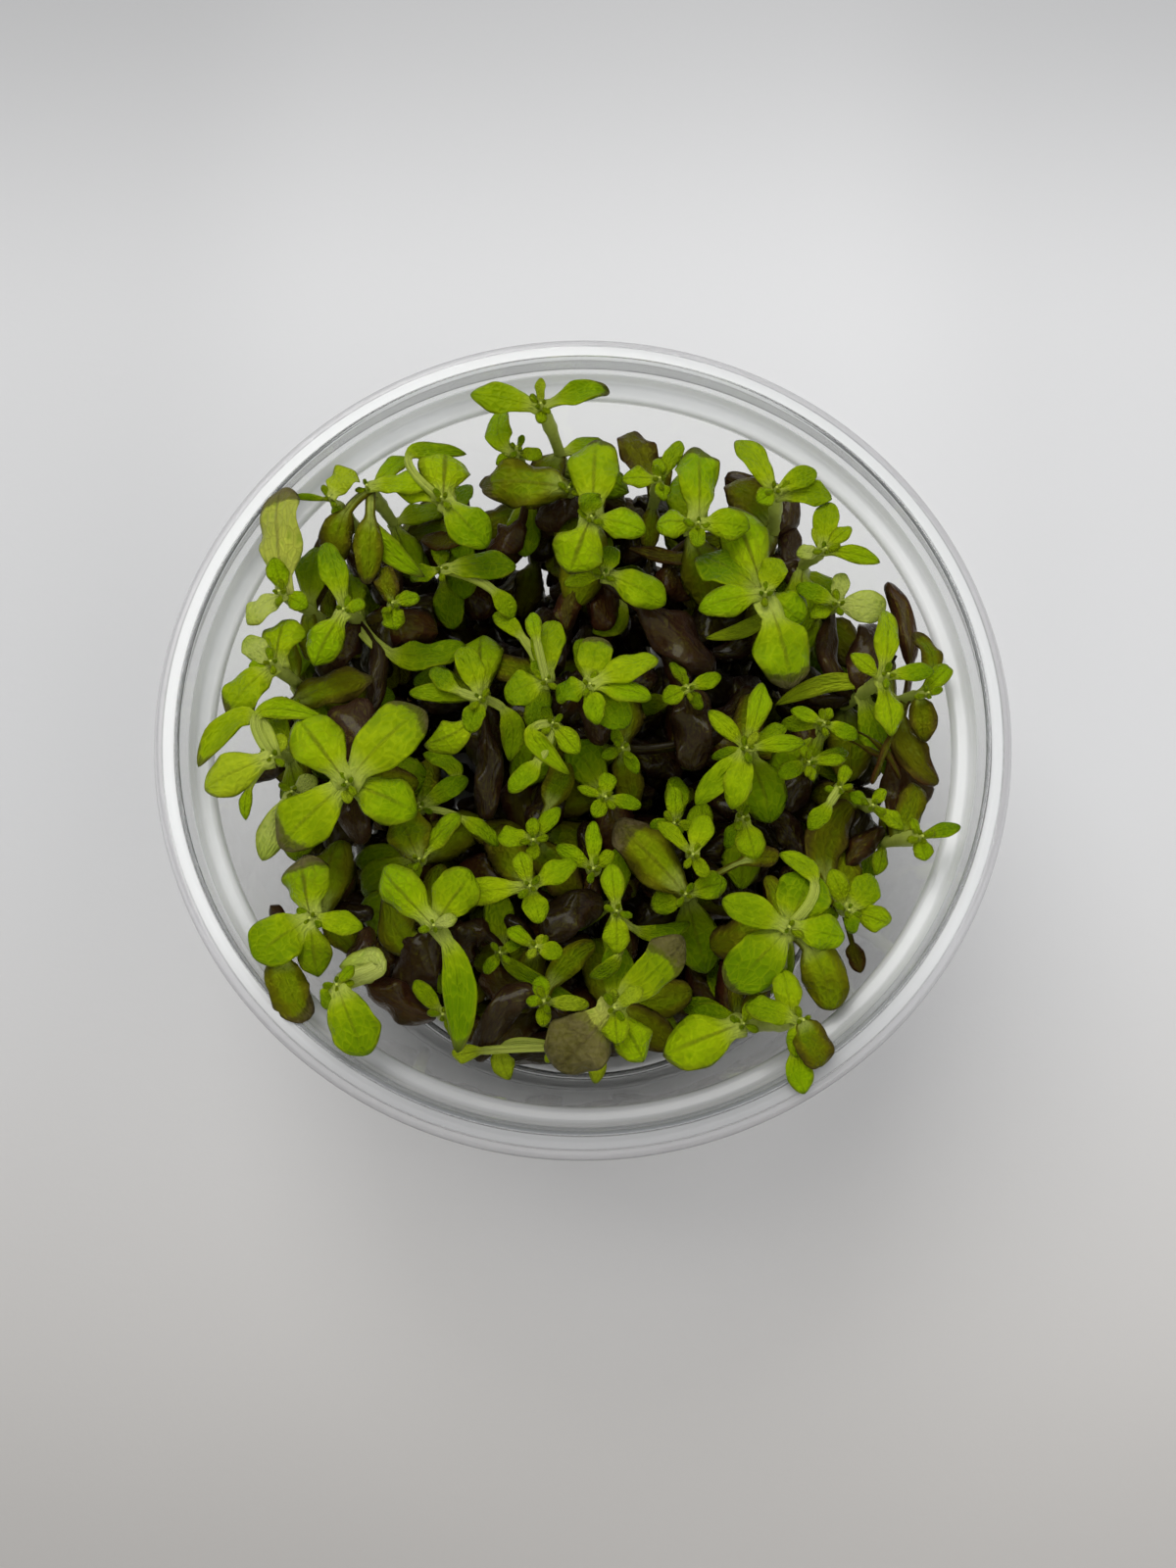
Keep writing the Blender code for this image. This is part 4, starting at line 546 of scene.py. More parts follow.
def blade_form(leaf):
    """Power that sets where the blade is widest, and how full its outline is. Old leaves are fuller."""
    if leaf.look[0] in OLD_LOOKS:
        return OLD_BLADE_POWER, OLD_BLADE_ROUNDNESS
    return BLADE_POWER, BLADE_ROUNDNESS


def thickness(leaf):
    return THICK_LEAF_THICKNESS if leaf.look[0] in THICK_LOOKS else LEAF_THICKNESS


def blade_share(leaf, along):
    """Half width at this share of the leaf's length, as a share of the widest."""
    if along <= leaf.neck:
        return NECK_SHARE
    blade = (along - leaf.neck) / (1.0 - leaf.neck)
    power, roundness = blade_form(leaf)
    curve = math.sin(math.pi * min(blade, 1.0) ** power)
    return max(NECK_SHARE * (1.0 - blade), max(curve, 0.0) ** roundness)


def leaf_point(leaf, along, angle, extra):
    """A point of the leaf's skin: angle 0 and pi are its edges, the others its upper and lower face."""
    centre = on_curve(leaf.base, leaf.bend, leaf.tip, along)
    ahead = ((1.0 - along) * (leaf.bend - leaf.base) + along * (leaf.tip - leaf.bend)).normalized()
    side = ahead.cross(leaf.up).normalized()
    normal = side.cross(ahead)
    half_width = blade_share(leaf, along) * leaf.width / 2.0 * LEAF_FULLNESS + extra
    turn = leaf.fold * math.cos(angle)
    across = side * (half_width * math.sin(turn) / math.sin(leaf.fold))
    lift = normal * (half_width * (1.0 - math.cos(turn)) / math.sin(leaf.fold))
    outward = normal * math.cos(turn) - side * math.sin(turn)
    return centre + across + lift + outward * (thickness(leaf) / 2.0 + extra) * math.sin(angle)


def leaf_shape(leaf, extra=0.0, whole=True):
    """Points and faces of a closed leaf from its stem to its tip, or of its outer part alone."""
    points = []
    for share in LEAF_RINGS if whole else OUTER_RINGS:
        along = leaf.neck + (1.0 - leaf.neck) * share
        points += [leaf_point(leaf, along, quarter * math.pi / 2.0, extra) for quarter in range(4)]
    points.append(leaf.tip + (leaf.tip - leaf.bend).normalized() * extra)
    points.append(leaf.base)
    faces = []
    for side in range(4):
        after = (side + 1) % 4
        faces.append((side, after, 4 + after, 4 + side))
        faces.append((4 + side, 4 + after, 8))
        if whole:
            faces.append((after, side, 9))
    return points, faces


def young_leaf(row, stem, shoot, number, change):
    """The leaf of a table row, with its height, tilt, heading and length changed by change."""
    drop, tilt, turn, size = change
    chance = noise(number + 31.0 * row.length)
    stagger = LEAF_STAGGER * (number % STAGGERED_LEAVES)
    base_height = min(shoot.height + drop - stagger, stem.top.z) - 0.3 * chance
    base_height = max(base_height, stem.foot.z + LOWEST_LEAF)
    base = stem_point(stem, base_height)
    start = Vector(row.start) if row.start else Vector(shoot.seen)
    reach = toward(math.radians(row.azimuth + turn)).xy * row.length * size
    tip = sight(start + reach, base_height + row.rise + tilt)
    bend = (base + tip) / 2.0 + UP * (tip - base).length * LEAF_BOW * (0.6 + 0.8 * chance)
    neck = SHORT_NECK
    if row.start:
        neck, bend = neck_through(base, sight(start, base_height + 0.6), tip)
    up = Quaternion(tip - base, (chance - 0.5) * YOUNG_LEAF_ROLL) @ UP
    return Leaf(base, bend, tip, up, row.width * size * sight_scale(base_height), neck, row.fold, row.look)


def neck_through(base, through, tip):
    """Length share of the neck, and the bend that carries the leaf through this point."""
    first = (through - base).length
    share = min(max(first / (first + (tip - through).length), NECK_LOW), NECK_HIGH)
    return share * NECK_TO_PLACE, bend_through(base, through, tip, share)


def old_leaf(row, stem, number, change):
    drop, tilt, turn, size = change
    base_height = min(max(row.height + drop, stem.foot.z + LOWEST_LEAF), stem.top.z)
    base = stem_point(stem, base_height)
    start = Vector(row.start)
    reach = (Vector(row.tip) - start) * size
    reach.rotate(Quaternion(UP, math.radians(turn)).to_euler().to_matrix().to_2x2())
    tip = sight(start + reach, base_height - 1.0 + tilt)
    neck, bend = neck_through(base, sight(start, base_height + 0.4), tip)
    chance = noise(number * 3.7)
    up = Quaternion(tip - base, (chance - 0.5) * OLD_LEAF_ROLL) @ UP
    width = row.width * size * sight_scale(base_height)
    return Leaf(base, bend, tip, up, width, neck, OLD_LEAF_FOLD, row.look)


def changes():
    """Ways to move a leaf that meets another, smallest first."""
    found = []
    for drop, tilt, turn, size in itertools.product(DROPS, TILTS, TURNS, SIZES):
        cost = abs(drop) + abs(tilt) * TILT_COST + abs(turn) * TURN_COST + (1.0 - size) * SIZE_COST
        found.append((cost, drop, tilt, turn, size))
    return [entry[1:] for entry in sorted(found)]


CHANGES = changes()


class Clearance:
    """Remembers the shapes already placed and says whether a new one keeps clear of them."""

    def __init__(self):
        self.kept = []

    @staticmethod
    def box(points):
        ways = [[point[axis] for point in points] for axis in range(3)]
        return [(min(way), max(way)) for way in ways]

    def add(self, owner, shape, outer):
        points, faces = shape
        outer_tree = BVHTree.FromPolygons(*outer) if outer else None
        self.kept.append((owner, self.box(points), BVHTree.FromPolygons(points, faces), outer_tree))

    def takes(self, owner, leaf, gap, fits):
        """Keeps the leaf's room and says True, if every point fits and the leaf clears others by this gap."""
        shape = leaf_shape(leaf, gap)
        if not fits(shape[0]) or not self.clear(owner, shape, leaf_shape(leaf, gap, False)):
            return False
        self.add(owner, leaf_shape(leaf), leaf_shape(leaf, 0.0, False))
        return True

    def clear(self, owner, shape, outer):
        points, faces = shape
        box = self.box(points)
        tree = BVHTree.FromPolygons(points, faces)
        outer_tree = BVHTree.FromPolygons(*outer)
        for other, other_box, other_tree, other_outer in self.kept:
            if any(low > there[1] or high < there[0] for (low, high), there in zip(box, other_box)):
                continue
            if other == owner:
                if other_outer and outer_tree.overlap(other_outer):
                    return False
            elif tree.overlap(other_tree):
                return False
        return True


def in_tub(points):
    """True if no point is in the wall, the floor or the rim."""
    return all(
        point.z > FOOT_HEIGHT and math.hypot(point.x, point.y) < inside_radius(point.z - 0.5) - 0.2
        for point in points
    )


def grow_stems():
    """Every plant's stems: the main stem first, then its side stems."""
    grown = {}
    for plant, shoots in PLANTS.items():
        placed = [stems[0] for stems in grown.values()]
        grown[plant] = [main_stem(shoots[0], placed)]
    for plant, shoots in PLANTS.items():
        for shoot in shoots[1:]:
            others = [stem for owner, stems in grown.items() if owner != plant for stem in stems]
            grown[plant].append(side_stem(shoot, grown[plant][0], others))
    return grown


def grow_leaves(grown):
    """Places every leaf, the highest first, so that no leaf runs through another plant."""
    room = Clearance()
    for plant, stems in grown.items():
        for stem in stems:
            room.add(plant, stem_shape(stem), None)
    waiting = []
    for plant, shoots in PLANTS.items():
        for shoot, stem in zip(shoots, grown[plant]):
            for row in (Row(*values) for values in shoot.leaves):
                waiting.append((shoot.height + row.rise / 2.0, plant, stem, shoot, row))
    for row in map(OldLeaf._make, OLD_LEAVES):
        plant, stem, turned = nearest_stem(grown, row)
        waiting.append((row.height, plant, stem, None, turned))
    waiting.sort(key=lambda entry: -entry[0])
    leaves = {plant: [] for plant in grown}
    for number, (_, plant, stem, shoot, row) in enumerate(waiting):
        moved = partial(old_leaf, row, stem, number)
        if shoot:
            moved = partial(young_leaf, row, stem, shoot, number)
        leaf = first_clear(moved, plant, room, GAP)
        if leaf:
            leaves[plant].append(leaf)
        else:
            print("no room for", plant, row)
    return leaves, room


def first_clear(moved, plant, room, gap):
    """The leaf moved by the smallest change that keeps it in the tub and clear of others, if any does."""
    for change in CHANGES:
        leaf = moved(change)
        if room.takes(plant, leaf, gap, in_tub):
            return leaf
    return None


def nearest_stem(grown, row):
    """The plant and stem of an old leaf, and the leaf, turned round if its tip is the nearer end."""
    found = []
    for near, far in ((row.start, row.tip), (row.tip, row.start)):
        blade = (Vector(far) - Vector(near)).length
        for plant, stems in grown.items():
            for stem in stems:
                if stem.top.z < row.height:
                    continue
                place = seen_place(stem_point(stem, row.height))
                away = (place - Vector(near)).length
                detour = away + blade - (place - Vector(far)).length
                found.append((away + detour, plant, stem, row._replace(start=near, tip=far)))
    return min(found, key=lambda entry: entry[0])[1:]


# What only the looks add to the layout

# Leaves are numbered from these on, so that each group has its own chances
FIRST_BETWEEN = 900
FIRST_LOW = 1000
FIRST_LITTER = 2000
CLOSE_GAP = 0.1

# More leaves low on every stem, older and darker the lower they are: partly their age, partly painted shade
# deep in the tub
LOW_LEAF_STEP = 4.0
LOW_LEAF_START = 6.0
LOW_LEAF_TOP_GAP = 9.0
LOW_LEAF_CHANGES = ((0.0, 1.0), (24.0, 1.0), (-24.0, 1.0), (50.0, 0.85), (-50.0, 0.85), (90.0, 0.7))
LOW_LEAF_LENGTHS = (6.0, 11.0)
# Up to each height, the colour words that a low leaf is chosen from; the darker words lower down are partly
# painted shade
LOW_LEAF_LOOKS = ((28.0, "kkr"), (38.0, "okrk"), (46.0, "mokkr"), (math.inf, "mmook"))
# How far low leaves stay from the wall: everywhere, more below this height, and more on the near side
OFF_WALL = 1.2
OFF_LOW_WALL = 4.5
OPEN_HEIGHT = 36.0
OFF_NEAR_WALL = 2.5
NEAR_SIDE = -18.0
LEAF_FOOT_SHARE = 0.5
DARK_LEAF_SWELL = 2.5
FRESH_LEAF_SWELL = 1.5
DARK_LEAF_AGE = 0.7
BUD_LEAF_LENGTHS = (2.1, 1.8, 1.2, 1.0)
STEM_LINE_STEP = 1.2
KNOT_SPACING = 5.3
FLARE_BELOW_TOP = 4.2
FLARE_REACH = 3.0
TOP_SHARE = 0.42
TOP_LENGTH = 4.5

# Smaller leaves seen between the others: where each is first seen, its tip, width, height and look
BETWEEN_LEAVES = (
    ((-15.5, 22.3), (-19.6, 22.2), 2.6, 49, "g"), ((11.0, 24.5), (6.3, 27.5), 3.2, 49, "k"),
    ((21.0, 10.5), (14.8, 7.2), 2.6, 44, "k"), ((-10.8, 12.3), (-7.5, 9.6), 2.2, 50, "b"),
    ((-9.5, 0.5), (-8.5, -6.0), 3.0, 50, "m"), ((-18.5, -5.0), (-14.5, -8.0), 2.4, 44, "m"),
    ((5.5, -25.2), (12.0, -24.6), 2.0, 47, "m"), ((-9.0, -28.3), (0.5, -34.0), 2.0, 47, "m"),
    ((22.5, 0.8), (34.5, 2.8), 2.4, 51, "y"), ((14.5, 9.2), (21.5, 13.2), 2.0, 50, "y"),
    ((35.6, -3.2), (33.2, -8.8), 0.9, 56, "g"), ((34.0, -3.8), (36.4, -8.2), 0.8, 56, "g"),
    ((33.0, -4.6), (35.8, -5.8), 0.8, 56, "g"),
)
LITTER_LEAVES = 90
LITTER_REACH = 32.0

# How old each colour word is, from 0 fresh to 1 black, then how pale and how yellow it is
LOOKS = {
    "b": (0.0, 0.0, 0.25), "m": (0.16, 0.0, 0.0), "y": (0.02, 0.1, 1.0), "p": (0.0, 1.0, 0.6),
    "o": (0.42, 0.0, 0.2), "g": (0.62, 0.3, 0.0), "r": (0.8, 0.0, 0.0), "k": (1.0, 0.0, 0.0),
}

Guide = namedtuple("Guide", "leaf age pale yellow brown seed twist curl wave")


# Nodes written as arithmetic

class Value:
    """A socket that takes part in arithmetic. Each operation adds a Math or Vector Math node."""

    def __init__(self, tree, socket):
        self.tree = tree
        self.socket = socket

    def maths(self, operation, *others):
        return self.joined(operation, [self, *others])

    def turned(self, operation, first):
        return self.joined(operation, [first, self])

    def joined(self, operation, values):
        """One node on these values: a Vector Math node if there is a vector among them."""
        scalars = [value for value in values if is_scalar(value)]
        if len(scalars) == len(values):
            return self.node("ShaderNodeMath", {"operation": operation}, dict(enumerate(values)))
        if operation == "MULTIPLY" and scalars:
            vector = [value for value in values if not is_scalar(value)][0]
            return self.node("ShaderNodeVectorMath", {"operation": "SCALE"}, {0: vector, "Scale": scalars[0]})
        return self.node("ShaderNodeVectorMath", {"operation": operation}, dict(enumerate(values)))

    __add__ = partialmethod(maths, "ADD")
    __sub__ = partialmethod(maths, "SUBTRACT")
    __mul__ = partialmethod(maths, "MULTIPLY")
    __truediv__ = partialmethod(maths, "DIVIDE")
    __pow__ = partialmethod(maths, "POWER")
    __radd__ = partialmethod(turned, "ADD")
    __rsub__ = partialmethod(turned, "SUBTRACT")
    __rmul__ = partialmethod(turned, "MULTIPLY")
    sine = partialmethod(maths, "SINE")
    cosine = partialmethod(maths, "COSINE")
    size = partialmethod(maths, "ABSOLUTE")
    at_least = partialmethod(maths, "MAXIMUM")
    at_most = partialmethod(maths, "MINIMUM")
    cross = partialmethod(maths, "CROSS_PRODUCT")
    unit = partialmethod(maths, "NORMALIZE")

    def part(self, name):
        """The x, y or z part of a vector."""
        return self.node("ShaderNodeSeparateXYZ", inputs={0: self}, output="xyz".index(name))

    def parts(self):
        """All three parts of a vector."""
        return [self.part(name) for name in "xyz"]

    def rise(self, low, high):
        """A soft step: 0 below low, 1 above high."""
        return self.node(
            "ShaderNodeMapRange", {"interpolation_type": "SMOOTHSTEP"},
            {"Value": self, "From Min": low, "From Max": high},
        )

    def within(self, low, high, soft):
        """About 1 between low and high, and 0 outside."""
        return self.rise(low - soft, low + soft) * (1.0 - self.rise(high - soft, high + soft))

    def blend(self, without, with_it):
        """Colour without where this value is 0, and with_it where it is 1."""
        return self.node("ShaderNodeMix", {"data_type": "RGBA"}, {0: self, 6: without, 7: with_it}, 2)

    def node(self, kind, settings=None, inputs=None, output=0):
        """Any other node: its settings first, then the values or links of its sockets."""
        return add_node(self.tree, kind, settings, inputs, output)


def is_scalar(value):
    if isinstance(value, Value):
        return value.socket.type not in {"VECTOR", "RGBA"}
    return isinstance(value, (int, float))


def connect(tree, socket, value):
    if isinstance(value, Value):
        tree.links.new(value.socket, socket)
    elif isinstance(value, (int, float)) and socket.type in {"VECTOR", "RGBA"}:
        socket.default_value = [float(value)] * len(socket.default_value)
    elif socket.type == "RGBA" and len(value) == 3:
        socket.default_value = (*value, 1.0)
    else:
        socket.default_value = value


def add_node(tree, kind, settings=None, inputs=None, output=0):
    node = tree.nodes.new(kind)
    for name, setting in (settings or {}).items():
        setattr(node, name, setting)
    for key, value in (inputs or {}).items():
        connect(tree, node.inputs[key], value)
    return Value(tree, node.outputs[output])


# Materials

def new_material(name, **constants):
    """A Principled material with its constant values set."""
    made = bpy.data.materials.new(name)
    made.use_nodes = True
    shader = made.node_tree.nodes["Principled BSDF"]
    for key, value in constants.items():
        connect(made.node_tree, shader.inputs[key.replace("_", " ")], value)
    return made, made.node_tree, shader


def vary(tree, shader, colour, roughness, normal):
    """Links what changes from place to place."""
    for name, value in (("Base Color", colour), ("Roughness", roughness), ("Normal", normal)):
        connect(tree, shader.inputs[name], value)


def painted(colour, *layers):
    """The colour under its layers, each given as its share from 0 to 1 and its colour."""
    for share, over in layers:
        colour = share.blend(colour, over)
    return colour


def attribute(tree, name, output="Fac"):
    return add_node(tree, "ShaderNodeAttribute", {"attribute_name": name}, output=output)


def object_place(tree):
    return add_node(tree, "ShaderNodeTexCoord", output="Object")


def speckle(tree, place, scale, detail=2.0, roughness=0.5):
    """Noise from 0 to 1 at this many waves a metre."""
    waves = {"Vector": place, "Scale": scale, "Detail": detail, "Roughness": roughness}
    return add_node(tree, "ShaderNodeTexNoise", inputs=waves)


def bumped(tree, height, distance, strength=1.0):
    shape = {"Strength": strength, "Distance": distance, "Height": height}
    return add_node(tree, "ShaderNodeBump", inputs=shape)


LEAF_IOR = 1.42
LEAF_GLOSS = 0.3
LEAF_SHEEN = (0.9, 1.0, 0.02)
WET_ROUGHNESS = 0.15
WET_COAT = 0.25
FRESH_SHADE = (0.050, 0.096, 0.001)
FRESH_DEEP = (0.092, 0.180, 0.001)
FRESH_GREEN = (0.200, 0.335, 0.001)
FRESH_YELLOW = (0.340, 0.420, 0.004)
LEAF_PALE = (0.430, 0.480, 0.120)
WITHERED = (0.400, 0.395, 0.085)
LEAF_UMBER = (0.055, 0.038, 0.006)
# Painted light: the lighter brown of dark leaves high in the tub, as if lit from above
DARK_LEAF_PAINTED_LIGHT = (0.046, 0.016, 0.011)
BROWNED = (0.115, 0.088, 0.044)
BROWNED_DARK = (0.034, 0.019, 0.008)
# From and up to which age a leaf turns olive, umber, rust and black
AGE_COLOURS = (
    (0.22, 0.46, (0.088, 0.088, 0.002)), (0.42, 0.66, LEAF_UMBER),
    (0.66, 0.84, (0.042, 0.011, 0.005)), (0.82, 1.0, (0.012, 0.004, 0.003)),
)


def leaf_material():
    """A leaf's skin: veined green when fresh, then olive, umber and black with age. Some tips are browned."""
    made, tree, shader = new_material(
        "bacopa_leaf", IOR=LEAF_IOR, Specular_IOR_Level=LEAF_GLOSS, Specular_Tint=LEAF_SHEEN,
        Coat_Roughness=WET_ROUGHNESS,
    )
    place = object_place(tree)
    along, across, face = attribute(tree, "leaf_place", "Vector").parts()
    age, pale, yellow, brown, seed, width = (
        attribute(tree, name) for name in ("age", "pale", "yellow", "brown", "seed", "width")
    )
    clouds = speckle(tree, place, 260.0, 3.0)
    grain = speckle(tree, place, 1500.0, 3.0, 0.6)
    wrinkles = speckle(tree, place, 700.0, 4.0, 0.65)

    # The rib, the side veins and the net of small veins between them
    edge = across.size()
    midrib = 1.0 - edge.rise(0.015, 0.10 + seed * 0.05)
    net_place = add_node(tree, "ShaderNodeCombineXYZ", inputs={
        "X": along * 8.5 + clouds * 1.6, "Y": across * 3.1 + clouds * 1.2, "Z": seed * 40.0,
    })
    net = add_node(
        tree, "ShaderNodeTexVoronoi", {"feature": "DISTANCE_TO_EDGE"}, {"Vector": net_place, "Scale": 1.0},
    )
    arc = edge / (0.34 + along * (1.0 - along) * 0.9) + (clouds - 0.5) * 0.5
    veins = (arc * 7.0).cosine().rise(0.86, 1.0) * edge.rise(0.08, 0.25) * (1.0 - edge.rise(0.6, 0.95))
    veins = (veins * 0.4 + (1.0 - net.rise(0.0, 0.09)) * 0.6).at_most(1.0)

    withering = yellow.rise(0.6, 0.9) * brown.rise(0.2, 0.6)
    marked = ((seed * 3.1 + clouds * 0.3 - 1.6).rise(0.0, 1.6) + withering).at_most(1.0)
    foot = (1.0 - along.rise(0.05, 0.6)) * (0.45 + clouds * 0.3) * (1.0 - age.rise(0.2, 0.5))
    root = (1.0 - along.rise(0.0, 0.3)) * 0.6
    paleness = (root + pale * 0.75 * (1.0 - along.rise(0.5, 1.0) * 0.5)).at_most(0.9)
    broad = (width * MM_PER_METRE).rise(3.6, 6.0)
    rusty_rib = midrib * broad * (clouds + seed * 0.6).rise(0.35, 0.8)
    rusty_rib = rusty_rib * along.rise(0.0, 0.15) * (1.0 - along.rise(0.55, 0.9))
    rusty_edge = edge.rise(0.62, 1.0) * 0.6 * (along + clouds * 1.3 + seed * 0.7 - 1.35).rise(0.0, 0.5)
    ends = along.rise(0.93, 1.0) * (1.0 - edge.rise(0.4, 1.0)) * (clouds + seed).rise(0.6, 1.1)

    patch = age + (clouds - 0.5) * 0.34 + (grain - 0.5) * 0.14
    middle_aged = age.rise(0.2, 0.5) * (1.0 - age.rise(0.7, 0.9))
    patch = patch + middle_aged * (edge.rise(0.35, 1.0) * 0.3 + along * 0.14 - 0.16)
    # How high a leaf is, for the painted light on dark leaves near the top
    lit_high_up = place.part("z").rise(0.044, 0.053)
    aged = painted(
        (clouds * 1.4 + seed * 0.9 - 0.72).rise(0.05, 0.75).blend(FRESH_DEEP, FRESH_GREEN),
        (patch.rise(0.02, 0.3) * 0.75, FRESH_SHADE),
        (yellow * (0.45 + clouds * 0.7), FRESH_YELLOW),
        (foot, FRESH_YELLOW),
        (paleness, LEAF_PALE),
        # painted highlight along the leaf's margin
        (edge.rise(0.80, 0.96) * 0.35 * clouds.rise(0.3, 0.6), FRESH_YELLOW),
        (midrib * (0.08 + marked * 0.34) * (1.0 - root) * (1.0 - along * 0.6), FRESH_SHADE),
        (rusty_rib * 0.45, LEAF_UMBER),
        (veins * (0.3 - marked * 0.15), FRESH_YELLOW),
        (withering * 0.55, WITHERED),
        (veins * marked * 0.4, LEAF_UMBER),
        (net.rise(0.12, 0.5) * 0.5 * clouds.rise(0.35, 0.6), FRESH_DEEP),
        (grain.rise(0.5, 0.75) * 0.22, FRESH_DEEP),
        ((rusty_edge + midrib * marked * 0.3) * 0.75, LEAF_UMBER),
        (ends * 0.6, BROWNED_DARK),
        *((patch.rise(young, old), colour) for young, old, colour in AGE_COLOURS),
        # painted light: dark leaves high in the tub are drawn lighter brown
        (age.rise(0.7, 0.9) * lit_high_up * (0.25 + grain * 0.6), DARK_LEAF_PAINTED_LIGHT),
    )

    # The browned tip, with a darker line where it begins
    reach = along + (clouds - 0.5) * 0.3 + (grain - 0.5) * 0.12 + edge * edge * 0.07 - 1.05 + brown * 0.42
    reach = reach + brown.rise(0.9, 1.0) * yellow.rise(0.6, 0.9) * 0.34
    browned = brown.rise(0.1, 0.3)
    tip = reach.rise(-0.04, 0.14) * browned
    rim = reach.rise(0.0, 0.04) * (1.0 - reach.rise(0.05, 0.12)) * browned
    tip_colour = (grain * 0.7 + clouds * 0.5 - 0.1).rise(0.25, 0.75).blend(BROWNED_DARK, BROWNED)
    colour = painted(aged, (tip * 0.9, tip_colour), (rim * 0.5, BROWNED_DARK))

    wet = age.rise(0.6, 1.0)
    height = grain * 0.36 - midrib * face.rise(-0.2, 0.2) * 0.3 + net.at_most(0.35) * 1.5 + clouds * 1.6
    height = height + wrinkles * (wet * 1.5 + tip * 0.9)
    roughness = 0.26 + grain * 0.18 + wet * 0.02 + tip * 0.16
    vary(tree, shader, colour, roughness, bumped(tree, height, 0.00017))
    connect(tree, shader.inputs["Coat Weight"], wet * WET_COAT)
    return made


STEM_SHEEN = (0.95, 1.0, 0.1)
STEM_FOOT = (0.014, 0.009, 0.004)
STEM_FLECKS = (0.190, 0.220, 0.030)
# From and up to which level in millimetres a stem turns to each colour
STEM_COLOURS = (
    (4.0, 20.0, (0.060, 0.048, 0.008)), (20.0, 36.0, (0.160, 0.190, 0.008)),
    (32.0, 48.0, (0.420, 0.490, 0.085)),
)


def stem_material():
    """A stem: nearly black at its foot and pale green at its top."""
    made, tree, shader = new_material(
        "bacopa_stem", IOR=LEAF_IOR, Specular_IOR_Level=LEAF_GLOSS, Specular_Tint=STEM_SHEEN,
    )
    place = object_place(tree)
    clouds = speckle(tree, place, 180.0, 3.0)
    grain = speckle(tree, place, 1300.0, 3.0)
    level = place.part("z") * MM_PER_METRE + (clouds - 0.5) * 22.0
    colour = painted(
        STEM_FOOT, *((level.rise(low, high), over) for low, high, over in STEM_COLOURS),
        (grain.rise(0.45, 0.75) * 0.3, STEM_FLECKS),
    )
    vary(tree, shader, colour, 0.32 + grain * 0.2, bumped(tree, grain + clouds * 0.4, 0.00006))
    return made


PLASTIC_IOR = 1.47
CLEAR_DULL = (0.975, 0.982, 0.976)
CLEAR_BRIGHT = (0.995, 0.996, 0.994)
# Grey in the clear plastic as painted shade: on the step, then in the sharp inner corner
CLEAR_STEP_SHADE = (0.70, 0.73, 0.75)
CLEAR_CORNER_SHADE = (0.34, 0.36, 0.37)
# Milky plastic in a painted shaded copy for the near side, then a lit copy for the far side. The outer edge
# and the step have darker painted shade.
MILK_SHADED_AND_LIT = ((0.47, 0.47, 0.47), (0.90, 0.91, 0.90))
OUTER_MILK_SHADED_AND_LIT = ((0.48, 0.47, 0.47), (0.62, 0.61, 0.62))
STEP_MILK_SHADED_AND_LIT = ((0.30, 0.31, 0.32), (0.84, 0.86, 0.87))
WALL_MILK = (0.86, 0.88, 0.80)


